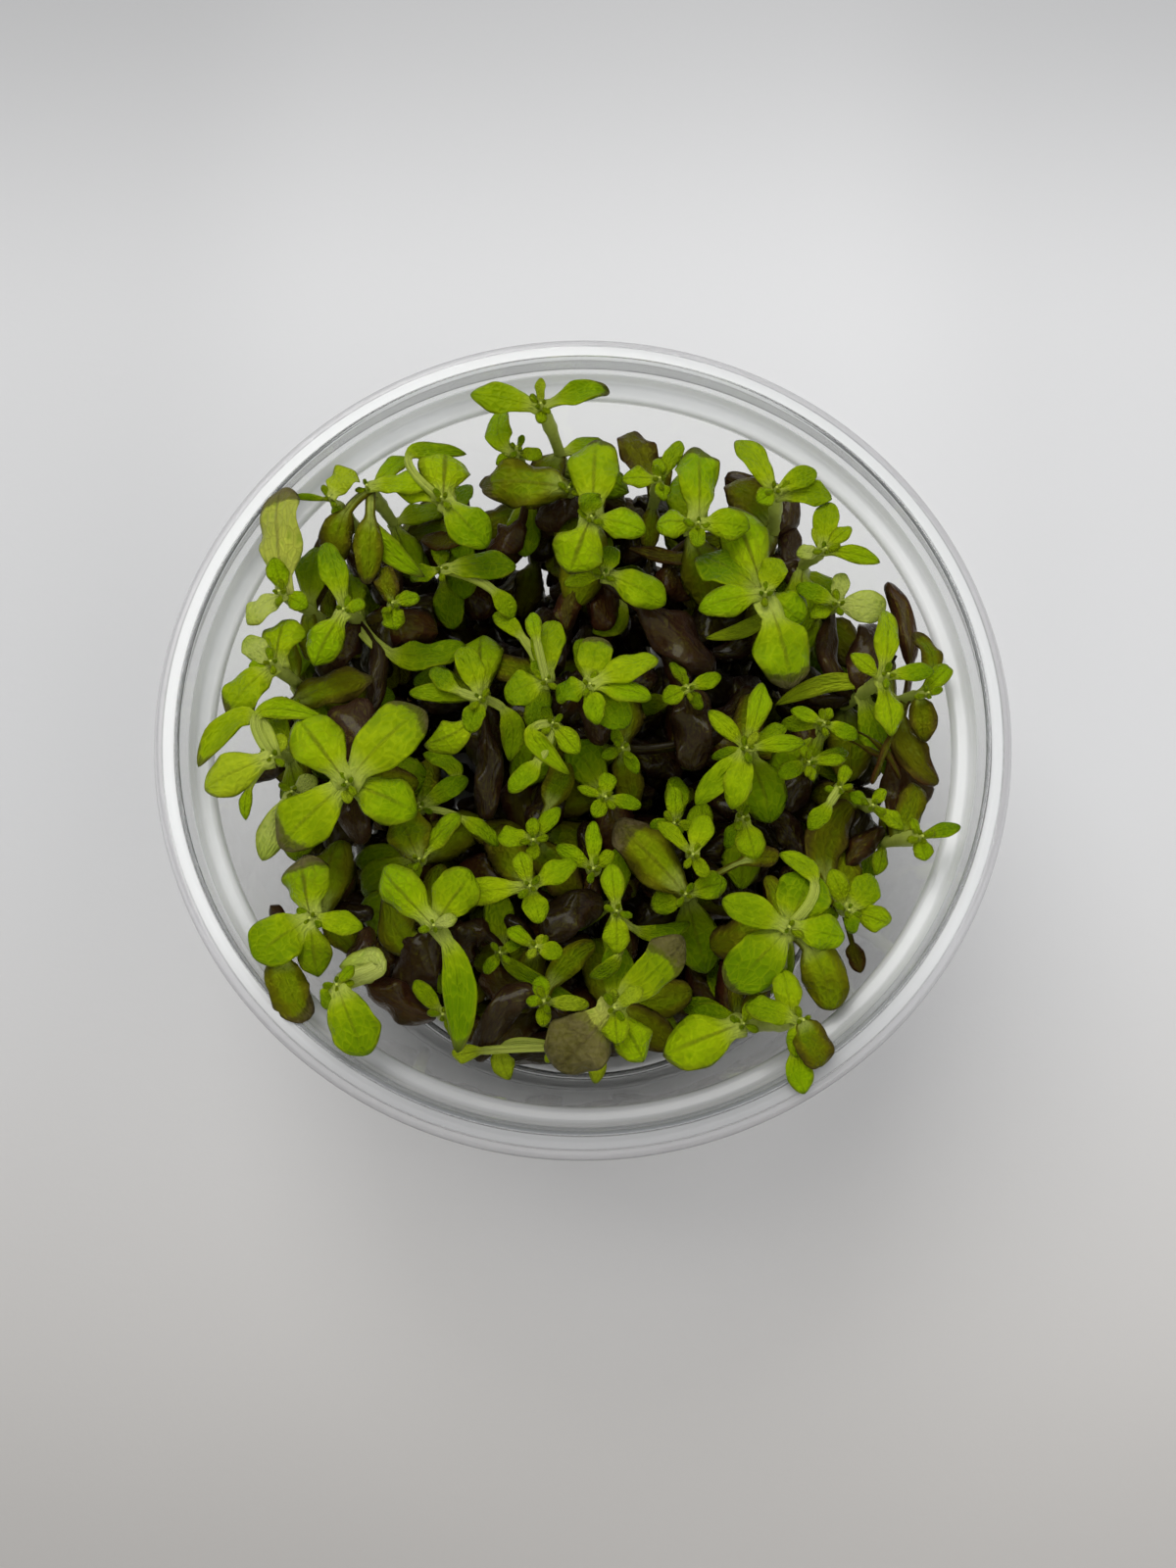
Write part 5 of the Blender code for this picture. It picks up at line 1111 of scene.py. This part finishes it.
def plastic_material():
    """Clear moulded plastic that looks milky where it is thick, with painted shade on its near side, outer
    edge and step, and in its sharp inner corner.
    """
    made, tree, clear = new_material("clear_plastic", IOR=PLASTIC_IOR, Transmission_Weight=1.0)
    place = object_place(tree)
    x, y, level = (part * MM_PER_METRE for part in place.parts())
    radius = (x * x + y * y) ** 0.5
    haze = speckle(tree, place, 40.0, 2.0)
    grain = speckle(tree, place, 700.0, 2.0)

    # Where each part of the tub is, as a share from 0 to 1
    high = level.rise(57.0, 57.6)
    # The far side as a share: the near side gets painted shade through the milky colours below
    away = 1.0 - (y * -1.0).rise(24.0, 46.0)
    lip = high * level.rise(58.8, 59.4) * radius.within(47.5, 48.8, 0.12)
    outer_edge = radius.rise(48.75, 49.05) * (0.35 + level.rise(58.6, 59.4) * 0.65)
    ledge = (1.0 - high) * level.rise(54.0, 54.5) * radius.within(44.45, 47.2, 0.12)
    step = high * radius.rise(46.2, 46.5) * (1.0 - radius.rise(47.3, 47.5))
    base = 1.0 - level.rise(1.8, 4.0)
    wall = 1.0 - level.rise(53.4, 54.2)
    # Where shade is painted in the sharp inner corner
    corner = high * level.rise(59.0, 59.5) * radius.within(46.95, 47.3, 0.08)
    frost = lip * 0.85 + outer_edge * 0.75 + ledge * 0.85 + base * 0.12 + haze * 0.04
    # More milk on the near side of the step, where the milky colour carries painted shade
    frost = frost + step * (0.14 + (1.0 - away) * 0.6)

    # The clear colour, with painted shade on the step and in the inner corner
    colour = painted(
        haze.blend(CLEAR_DULL, CLEAR_BRIGHT), (step * 0.1, CLEAR_STEP_SHADE), (corner * 0.3, CLEAR_CORNER_SHADE),
    )
    # The milky colour: painted shade on the near side, the outer edge and the step, lit on the far side
    milk_and_shade = painted(
        away.blend(*MILK_SHADED_AND_LIT), (outer_edge * 0.9, away.blend(*OUTER_MILK_SHADED_AND_LIT)), (step, away.blend(*STEP_MILK_SHADED_AND_LIT)),
        (wall, WALL_MILK),
    )
    relief = bumped(tree, haze + grain * 0.02, 0.00001, 0.3)
    milky = tree.nodes.new("ShaderNodeBsdfPrincipled")
    milky.inputs["IOR"].default_value = PLASTIC_IOR
    milky.inputs["Transmission Weight"].default_value = 0.15
    vary(tree, clear, colour, 0.03 + haze * 0.04, relief)
    vary(tree, milky, milk_and_shade, 0.18 + grain * 0.1, relief)
    blended = add_node(tree, "ShaderNodeMixShader", inputs={
        0: frost.at_most(1.0), 1: Value(tree, clear.outputs[0]), 2: Value(tree, milky.outputs[0]),
    })
    tree.links.new(blended.socket, tree.nodes["Material Output"].inputs["Surface"])
    return made


FLOOR_FAR = (0.762, 0.762, 0.762)
FLOOR_NEAR = (0.788, 0.754, 0.710)
FLOOR_HAZE = (0.74, 0.74, 0.73)
# Pools of light that pass the clear tub: middle, radii between which each fades out, share and colour
LIGHT_POOLS = (
    (0.0, 0.0197, 0.056, 0.075, 0.6, (0.93, 0.928, 0.915)),
    (0.008, -0.045, 0.014, 0.042, 0.3, (0.94, 0.922, 0.895)),
)


def floor_material():
    """A pale floor that is a little darker away from the light, as in the photo."""
    made, tree, shader = new_material("pale_floor")
    place = object_place(tree)
    x, y, _ = place.parts()
    haze = speckle(tree, place, 9.0, 3.0)
    grain = speckle(tree, place, 600.0, 2.0)
    near = (y * -1.0).rise(-0.02, 0.13)
    nearest = (y * -1.0).rise(0.07, 0.125)
    far = y.rise(0.09, 0.19)
    sides = x.size().rise(0.045, 0.085) * (1.0 - near * 0.9)
    light = (1.0 - near * 0.36) * (1.0 - nearest * 0.14) * (1.0 - far * 0.32)
    light = light * (0.92 + x.rise(-0.1, 0.1) * 0.14) * (1.0 - sides * 0.08)
    colour = (haze * 0.12).blend(near.blend(FLOOR_FAR, FLOOR_NEAR) * light, FLOOR_HAZE)
    for middle_x, middle_y, inner, outer, share, pool in LIGHT_POOLS:
        from_x, from_y = x - middle_x, y - middle_y
        from_middle = (from_x * from_x + from_y * from_y) ** 0.5
        colour = ((1.0 - from_middle.rise(inner, outer)) * share).blend(colour, pool)
    vary(tree, shader, colour, 0.55 + grain * 0.1, bumped(tree, grain, 0.00003))
    return made


# The tree that grows a plant from its guides

def named(tree, name, kind="FLOAT"):
    """A stored attribute as a value."""
    return add_node(tree, "GeometryNodeInputNamedAttribute", {"data_type": kind}, {"Name": name})


def stored(tree, geometry, name, value):
    """The geometry with this vector stored on its points."""
    return add_node(
        tree, "GeometryNodeStoreNamedAttribute", {"data_type": "FLOAT_VECTOR", "domain": "POINT"},
        {"Geometry": geometry, "Name": name, "Value": value},
    )


def coloured(tree, geometry, material):
    return add_node(tree, "GeometryNodeSetMaterial", inputs={"Geometry": geometry, "Material": material})


def leaf_branch(tree, take):
    """Leaves: a closed tube on every leaf guide, flattened, widened and bent by that guide's attributes."""
    blank = add_node(
        tree, "GeometryNodeMeshCylinder", {"fill_type": "NGON"},
        {"Vertices": take("Leaf sides"), "Side Segments": take("Leaf rings"), "Radius": 1.0, "Depth": 1.0},
    )
    blank = stored(tree, blank, "flat", add_node(tree, "GeometryNodeInputPosition"))
    sown = add_node(
        tree, "GeometryNodeInstanceOnPoints",
        inputs={"Points": take("Guides"), "Selection": named(tree, "is_leaf", "BOOLEAN"), "Instance": blank},
    )
    real = add_node(tree, "GeometryNodeRealizeInstances", inputs={"Geometry": sown})

    across, face, length = named(tree, "flat", "FLOAT_VECTOR").parts()
    base, bend, tip, up = (named(tree, name, "FLOAT_VECTOR") for name in GUIDE_VECTORS)
    seed, neck, wave, width, age = (named(tree, name) for name in ("seed", "neck", "wave", "width", "age"))
    along = 1.0 - (0.5 - length).at_least(0.0) ** 1.45
    back = 1.0 - along
    blade = ((along - neck) / (1.0 - neck)).at_least(0.0)

    # The leaf's middle line and the ways across it and out of its face
    centre = base * (back * back) + bend * (along * back * 2.0) + tip * (along * along)
    ahead = (((bend - base) * back) + ((tip - bend) * along)).unit()
    up = up + (tip - base).unit().cross(up) * (named(tree, "twist") * along)
    side = ahead.cross(up).unit()
    normal = side.cross(ahead)

    # Its outline, with a narrow foot and uneven lobes
    curve = ((blade ** named(tree, "power")) * math.pi).sine().at_least(0.0)
    curve = curve ** (named(tree, "roundness") + seed * 0.3 - 0.12)
    foot = (1.0 - blade * 1.3) * (LEAF_FOOT_SHARE - age.at_most(0.5) * 0.4)
    share = curve.at_least(foot).at_least(0.01)
    lobes = (blade * 9.0 + seed * 40.0 + across * 1.5).sine() * 0.8
    lobes = lobes + (blade * 24.0 + seed * 17.0 - across * 3.0).sine() * 0.3
    half_width = share * width * 0.5 * (1.0 + lobes * wave * 0.45)

    # The fold along its rib, the bow of a broad leaf, and its waves, puckers, curl and groove
    fold = named(tree, "fold") * (0.5 + blade * 0.6 + seed * 0.5)
    turn = fold * across
    sideways = side * (half_width * turn.sine() / fold.sine())
    outward = normal * turn.cosine() - side * turn.sine()
    broad = (width * MM_PER_METRE).rise(2.6, 5.0) * (0.25 + seed * 0.9)
    lift = half_width * (1.0 - turn.cosine()) / fold.sine()
    lift = lift - (across * across * half_width * 0.5 + blade ** 3.0 * width * 0.16) * broad
    waves = (blade * 11.0 + seed * 60.0 + across * 1.6).sine() * wave
    lift = lift + waves * half_width * across * across * 1.9
    pucker = (blade * 21.0 + seed * 23.0).sine() * (across * 6.0 + seed * 9.0).sine()
    lift = lift + pucker * half_width * share * 0.05
    lift = lift + (blade - 0.6).at_least(0.0) ** 2.0 * named(tree, "curl") * width
    lift = lift - (1.0 - across.size() * 2.4).at_least(0.0) * face.rise(0.0, 0.5) * half_width * 0.07
    thick = take("Thickness") * named(tree, "thick") * 0.5 * (share * 2.2).at_most(1.0) * (1.0 - blade * 0.35)
    place = centre + sideways + normal * lift + outward * (face * thick)

    leaves = add_node(tree, "GeometryNodeSetPosition", inputs={"Geometry": real, "Position": place})
    spot = add_node(tree, "ShaderNodeCombineXYZ", inputs={"X": blade, "Y": across, "Z": face})
    return coloured(tree, stored(tree, leaves, "leaf_place", spot), take("Leaf material"))


def stem_branch(tree, take):
    """Stems: a closed round tube along every line of guides."""
    lines = add_node(tree, "GeometryNodeMeshToCurve", inputs={"Mesh": take("Guides")})
    ring = add_node(
        tree, "GeometryNodeCurvePrimitiveCircle", inputs={"Resolution": take("Stem sides"), "Radius": 1.0},
    )
    tubes = add_node(
        tree, "GeometryNodeCurveToMesh",
        inputs={"Curve": lines, "Profile Curve": ring, "Scale": named(tree, "radius"), "Fill Caps": True},
    )
    return coloured(tree, tubes, take("Stem material"))


TREE_INPUTS = (
    ("Leaf rings", "NodeSocketInt", 20), ("Leaf sides", "NodeSocketInt", 16),
    ("Thickness", "NodeSocketFloat", 1.0), ("Stem sides", "NodeSocketInt", 10),
    ("Leaf material", "NodeSocketMaterial", None), ("Stem material", "NodeSocketMaterial", None),
)
COARSE_LEAVES = {"Leaf rings": 10, "Leaf sides": 10}


def plant_tree():
    tree = bpy.data.node_groups.new("bacopa_plant", "GeometryNodeTree")
    tree.interface.new_socket("Guides", in_out="INPUT", socket_type="NodeSocketGeometry")
    for name, kind, value in TREE_INPUTS:
        socket = tree.interface.new_socket(name, in_out="INPUT", socket_type=kind)
        if value is not None:
            socket.default_value = value
    tree.interface.new_socket("Plant", in_out="OUTPUT", socket_type="NodeSocketGeometry")
    given = tree.nodes.new("NodeGroupInput")

    def take(name):
        return Value(tree, given.outputs[name])

    joined = tree.nodes.new("GeometryNodeJoinGeometry")
    for part in (stem_branch(tree, take), leaf_branch(tree, take)):
        tree.links.new(part.socket, joined.inputs[0])
    whole = Value(tree, joined.outputs[0])
    smooth = add_node(tree, "GeometryNodeSetShadeSmooth", inputs={"Geometry": whole, "Shade Smooth": True})
    connect(tree, tree.nodes.new("NodeGroupOutput").inputs[0], smooth)
    return tree


GUIDE_VECTORS = ("base", "bend", "tip", "up")
LEAF_NUMBERS = ("neck", "fold")
GUIDE_NUMBERS = ("age", "pale", "yellow", "brown", "seed", "twist", "curl", "wave")


def guide_mesh(name, guides, lines):
    """Guides as a mesh: one loose point a leaf, and one line of points a stem."""
    points = [tuple(guide.leaf.base * MM) for guide in guides]
    edges = []
    radii = [0.0] * len(guides)
    for line in lines:
        edges += [(len(points) + step, len(points) + step + 1) for step in range(len(line) - 1)]
        points += [tuple(place * MM) for place, _ in line]
        radii += [radius * MM for _, radius in line]
    mesh = bpy.data.meshes.new(name)
    mesh.from_pydata(points, edges, [])
    rest = len(points) - len(guides)

    def store(key, values, kind="FLOAT", field="value"):
        mesh.attributes.new(key, kind, "POINT").data.foreach_set(field, values)

    store("is_leaf", [True] * len(guides) + [False] * rest, "BOOLEAN")
    store("radius", radii)
    for key in GUIDE_VECTORS:
        scale = 1.0 if key == "up" else MM
        values = [number * scale for guide in guides for number in getattr(guide.leaf, key)]
        store(key, values + [0.0] * (3 * rest), "FLOAT_VECTOR", "vector")
    numbers = {
        "width": [guide.leaf.width * MM for guide in guides],
        "thick": [drawn_thickness(guide) * MM for guide in guides],
        "power": [blade_form(guide.leaf)[0] for guide in guides],
        "roundness": [blade_form(guide.leaf)[1] for guide in guides],
    }
    numbers.update((key, [getattr(guide.leaf, key) for guide in guides]) for key in LEAF_NUMBERS)
    numbers.update((key, [getattr(guide, key) for guide in guides]) for key in GUIDE_NUMBERS)
    for key, values in numbers.items():
        store(key, values + [0.0] * rest)
    return mesh


def drawn_thickness(guide):
    return thickness(guide.leaf) * (DARK_LEAF_SWELL if guide.age > DARK_LEAF_AGE else FRESH_LEAF_SWELL)


def in_scene(name, data):
    """A new object of this data, in the scene."""
    thing = bpy.data.objects.new(name, data)
    bpy.context.scene.collection.objects.link(thing)
    return thing


def grown_piece(name, tree, inputs, mesh):
    """The plain mesh that the tree makes of these guides, as a new object."""
    holder = in_scene(name + "_guides", mesh)
    modifier = holder.modifiers.new("Grow", "NODES")
    modifier.node_group = tree
    for item in tree.interface.items_tree:
        if item.in_out == "INPUT" and item.name in inputs:
            modifier[item.identifier] = inputs[item.name]
    graph = bpy.context.evaluated_depsgraph_get()
    grown = bpy.data.meshes.new_from_object(holder.evaluated_get(graph))
    bpy.data.objects.remove(holder, do_unlink=True)
    grown.name = name
    return in_scene(name, grown)


# Guides

def dressed(leaf, number):
    """A guide: the leaf with its age, colour and small bends from its colour word."""
    age, pale, yellow = LOOKS[leaf.look[0]]
    brown = int(leaf.look[1:] or 0) / 9.0
    seed = noise(number * 1.37 + 5.0)
    age = min(max(age + (noise(number * 2.1) - 0.5) * 0.14, 0.0), 1.0)
    yellow = min(max(yellow + (noise(number * 3.3) - 0.5) * 0.5, 0.0), 1.0)
    twist = (noise(number * 4.9) - 0.5) * 0.5
    curl = (noise(number * 6.1) - 0.62) * 1.3 - brown * 0.5
    wave = 0.05 + 0.1 * noise(number * 7.7) + 0.12 * age + 0.06 * brown
    return Guide(leaf, age, pale, yellow, brown, seed, twist, curl, wave)


def low_leaves(grown, room):
    """Pairs of old leaves down every stem, left out where they would run through another plant."""
    found = {plant: [] for plant in grown}
    number = FIRST_LOW
    for plant, stems in grown.items():
        for stem in stems:
            height = stem.top.z - LOW_LEAF_TOP_GAP - 2.0 * noise(number)
            quarter = 0
            while height > LOW_LEAF_START:
                quarter += 1
                for half in range(2):
                    number += 1
                    leaf = low_leaf(plant, stem, height, quarter * 90.0 + half * 180.0, number, room)
                    if leaf:
                        found[plant].append((leaf, number))
                height -= LOW_LEAF_STEP * (0.8 + 0.4 * noise(number))
    return found


def between_leaves(grown, room):
    """The smaller seen leaves, each on the stem nearest to it."""
    found = {plant: [] for plant in grown}
    for number, row in enumerate(map(OldLeaf._make, BETWEEN_LEAVES), FIRST_BETWEEN):
        plant, stem, turned = nearest_stem(grown, row)
        leaf = first_clear(partial(old_leaf, turned, stem, number), plant, room, CLOSE_GAP)
        if leaf:
            found[plant].append((leaf, number))
    return found


def litter(grown):
    """Dead leaves that lie on the tub's floor between the stems, each counted with the nearest plant."""
    found = {plant: [] for plant in grown}
    for number in range(FIRST_LITTER, FIRST_LITTER + LITTER_LEAVES):
        angle = number * SPIRAL_TURN
        away = LITTER_REACH * math.sqrt((number + 0.5 - FIRST_LITTER) / LITTER_LEAVES)
        height = FOOT_HEIGHT + 0.8 + 2.6 * noise(number)
        middle = Vector((math.cos(angle) * away, math.sin(angle) * away, height))
        plant = min(grown, key=lambda owner: (grown[owner][0].foot - middle).length)
        heading = math.tau * noise(number * 1.7)
        half = Vector((math.cos(heading), math.sin(heading), 0.3 * (noise(number * 2.9) - 0.5)))
        half *= 3.6 + 1.8 * noise(number * 4.1)
        leaf = Leaf(
            middle - half, middle + UP * (1.6 * noise(number * 3.1)), middle + half, UP,
            half.length * 0.95, SHORT_NECK, 0.5, "k0" if noise(number * 5.9) < 0.6 else "r0",
        )
        if in_tub([point + UP * 0.3 for point in leaf_shape(leaf)[0]]):
            found[plant].append((leaf, number))
    return found


def low_leaf(plant, stem, height, heading, number, room):
    base = stem_point(stem, height)
    chance = noise(number * 1.9)
    shortest, longest = LOW_LEAF_LENGTHS
    length = shortest + (longest - shortest) * chance
    words = next(words for below, words in LOW_LEAF_LOOKS if height <= below)
    look = words[int(noise(number * 5.3) * len(words))] + "0"
    for turn, size in LOW_LEAF_CHANGES:
        angle = math.radians(heading + turn + 40.0 * (noise(number * 2.7) - 0.5))
        reach = toward(angle) * length * size
        tip = base + reach + UP * (-2.6 + 4.2 * noise(number * 3.9))
        bend = (base + tip) / 2.0 + UP * length * (0.1 + 0.15 * chance)
        leaf = Leaf(base, bend, tip, UP, length * size * (0.4 + 0.2 * chance), SHORT_NECK, 0.5, look)
        if room.takes(plant, leaf, CLOSE_GAP, held_off_wall):
            return leaf
    return None


def held_off_wall(points):
    """True if every point is inside the tub, and farther from its wall the lower and the nearer it is."""
    for point in points:
        low = max(0.0, 1.0 - point.z / OPEN_HEIGHT)
        off = OFF_WALL + OFF_LOW_WALL * low + (OFF_NEAR_WALL if point.y < NEAR_SIDE else 0.0)
        if point.z < FOOT_HEIGHT or math.hypot(point.x, point.y) > inside_radius(point.z - 0.5) - off:
            return False
    return True


def bud_leaves(stem, number):
    """The smallest leaves, standing in pairs at the top of a stem."""
    found = []
    for place, length in enumerate(BUD_LEAF_LENGTHS):
        pair, side = divmod(place, 2)
        out = toward(math.radians(90.0 * pair + 180.0 * side + 360.0 * noise(number)))
        base = stem.top - UP * (0.5 - 0.25 * pair)
        tip = base + out * length * (0.85 - 0.3 * pair) + UP * length * (0.5 + 0.35 * pair)
        bend = (base + tip) / 2.0 + out * length * 0.18
        found.append(Leaf(base, bend, tip, UP - out * 0.2, length * 0.42, 0.03, 0.6, "b0"))
    return found


def stem_line(stem):
    """Points and radii along a stem, thicker at each pair of leaves and drawn in to a bud."""
    steps = max(8, int((stem.top.z - stem.foot.z) / STEM_LINE_STEP))
    line = []
    for step in range(steps + 1):
        height = stem.foot.z + (stem.top.z - stem.foot.z) * step / steps
        knot = math.cos(height * math.tau / KNOT_SPACING + stem.top.x) ** 6
        flare = max(0.0, 1.0 - abs(stem.top.z - FLARE_BELOW_TOP - height) / FLARE_REACH)
        drawn_in = min(1.0, TOP_SHARE + (stem.top.z - height) / TOP_LENGTH)
        radius = stem.radius * (0.95 + 0.2 * knot + 0.25 * flare) * drawn_in
        line.append((stem_point(stem, height), radius))
    line.append((line[-1][0] + UP * 0.6, stem.radius * 0.2))
    return line


# Pieces

TUB_TURN_STEPS = 192
TUB_CORNER_RADIUS = 0.6
TUB_CORNER_PIECES = 4
SAME_PLACE = 0.000002


def turned_mesh(name, outline, steps):
    """A closed solid from an outline of radius and height in millimetres, turned about the tub's axis."""
    shape = bmesh.new()
    points = [shape.verts.new((radius * MM, 0.0, height * MM)) for radius, height in outline]
    edges = [shape.edges.new(pair) for pair in zip(points, points[1:])]
    bmesh.ops.spin(
        shape, geom=points + edges, cent=(0, 0, 0), axis=(0, 0, 1), angle=math.tau, steps=steps,
    )
    bmesh.ops.remove_doubles(shape, verts=shape.verts, dist=SAME_PLACE)
    bmesh.ops.recalc_face_normals(shape, faces=shape.faces)
    mesh = bpy.data.meshes.new(name)
    shape.to_mesh(mesh)
    shape.free()
    mesh.shade_smooth()
    return mesh


def softened(outline, radius, pieces):
    """The outline with every inner corner rounded off by this radius, or by less beside a short side."""
    made = [outline[0]]
    for before, corner, after in zip(outline, outline[1:], outline[2:]):
        before, corner, after = Vector(before), Vector(corner), Vector(after)
        reach = min(radius, (before - corner).length * 0.42, (after - corner).length * 0.42)
        start = corner + (before - corner).normalized() * reach
        end = corner + (after - corner).normalized() * reach
        made += [tuple(on_curve(start, corner, end, piece / pieces)) for piece in range(pieces + 1)]
    made.append(outline[-1])
    return made


def make_tub(made_of):
    outline = softened(tub_profile(), TUB_CORNER_RADIUS, TUB_CORNER_PIECES)
    mesh = turned_mesh("tub_clear", outline, TUB_TURN_STEPS)
    mesh.materials.append(made_of)
    piece = in_scene("tub_clear", mesh)
    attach(piece, "root")
    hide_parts("tub")


def make_plants(leaf, stem):
    """Two pieces a plant: its stems with their seen leaves, and its small and old leaves."""
    grown = grow_stems()
    leaves, room = grow_leaves(grown)
    between = between_leaves(grown, room)
    low = low_leaves(grown, room)
    fallen = litter(grown)
    tree = plant_tree()
    inputs = {"Leaf material": leaf, "Stem material": stem}
    number = 0
    for plant, stems in grown.items():
        guides = []
        for entry in leaves[plant]:
            number += 1
            guides.append(dressed(entry, number))
        guides += [dressed(entry, seed) for entry, seed in between[plant]]
        small = [dressed(entry, seed) for entry, seed in low[plant] + fallen[plant]]
        for each in stems:
            for entry in bud_leaves(each, number):
                number += 1
                small.append(dressed(entry, number))
        shoots = guide_mesh(plant + "_shoots", guides, [stem_line(each) for each in stems])
        old_growth = guide_mesh(plant + "_small", small, [])
        coarse = {**COARSE_LEAVES, **inputs}
        for name, mesh, given in (("shoots_", shoots, inputs), ("small_leaves_", old_growth, coarse)):
            piece = grown_piece(plant.replace("plant_", name), tree, given, mesh)
            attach(piece, "root")
            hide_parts(plant)


# Stage, light and camera

FLOOR_SIDE = 4.0
PHOTO_HEIGHT = 1600.0
FOCAL_PIXELS = 1202.0
CAMERA_TILT = math.radians(14.7)
LIT_PLACE = Vector((0.0, 0.0, 0.05))
SKY_LOW = (0.60, 0.61, 0.63)
SKY_HIGH = (1.02, 1.03, 1.06)
SKY_STRENGTH = 0.62
# Name, place, width in metres, power in watts and colour
LIGHTS = (
    ("key", (-0.2, 0.35, 0.8), 0.6, 3.2, (1.0, 0.99, 0.97)),
    ("fill", (0.45, -0.2, 0.6), 0.5, 0.6, (1.0, 1.0, 1.0)),
)


def make_stage():
    half = FLOOR_SIDE / 2.0
    corners = [(-half, -half, 0.0), (half, -half, 0.0), (half, half, 0.0), (-half, half, 0.0)]
    mesh = bpy.data.meshes.new("floor")
    mesh.from_pydata(corners, [], [(0, 1, 2, 3)])
    mesh.materials.append(floor_material())
    floor = in_scene("floor", mesh)


def area_light(name, place, size, power, colour):
    """A round soft light that faces the plants."""
    light = bpy.data.lights.new(name, "AREA")
    light.shape = "DISK"
    light.size = size
    light.energy = power
    light.color = colour
    thing = in_scene(name, light)
    thing.location = place
    thing.rotation_euler = (LIT_PLACE - Vector(place)).to_track_quat("-Z", "Y").to_euler()


def make_light():
    world = bpy.data.worlds.new("studio")
    world.use_nodes = True
    background = world.node_tree.nodes["Background"]
    way = add_node(world.node_tree, "ShaderNodeTexCoord", output="Generated")
    sky = way.part("z").rise(-0.1, 0.9).blend(SKY_LOW, SKY_HIGH)
    connect(world.node_tree, background.inputs["Color"], sky)
    background.inputs["Strength"].default_value = SKY_STRENGTH
    bpy.context.scene.world = world
    for light in LIGHTS:
        area_light(*light)


def make_camera():
    data = bpy.data.cameras.new("camera")
    data.sensor_fit = "VERTICAL"
    data.sensor_height = 36.0
    data.lens = data.sensor_height * FOCAL_PIXELS / PHOTO_HEIGHT
    data.clip_start = 0.01
    camera = in_scene("camera", data)
    camera.location = SEEN_FROM * MM
    camera.rotation_euler = (CAMERA_TILT, 0.0, 0.0)
    bpy.context.scene.camera = camera


make_tub(plastic_material())
make_plants(leaf_material(), stem_material())
make_stage()
make_light()
make_camera()
bpy.context.scene.view_settings.view_transform = "Standard"
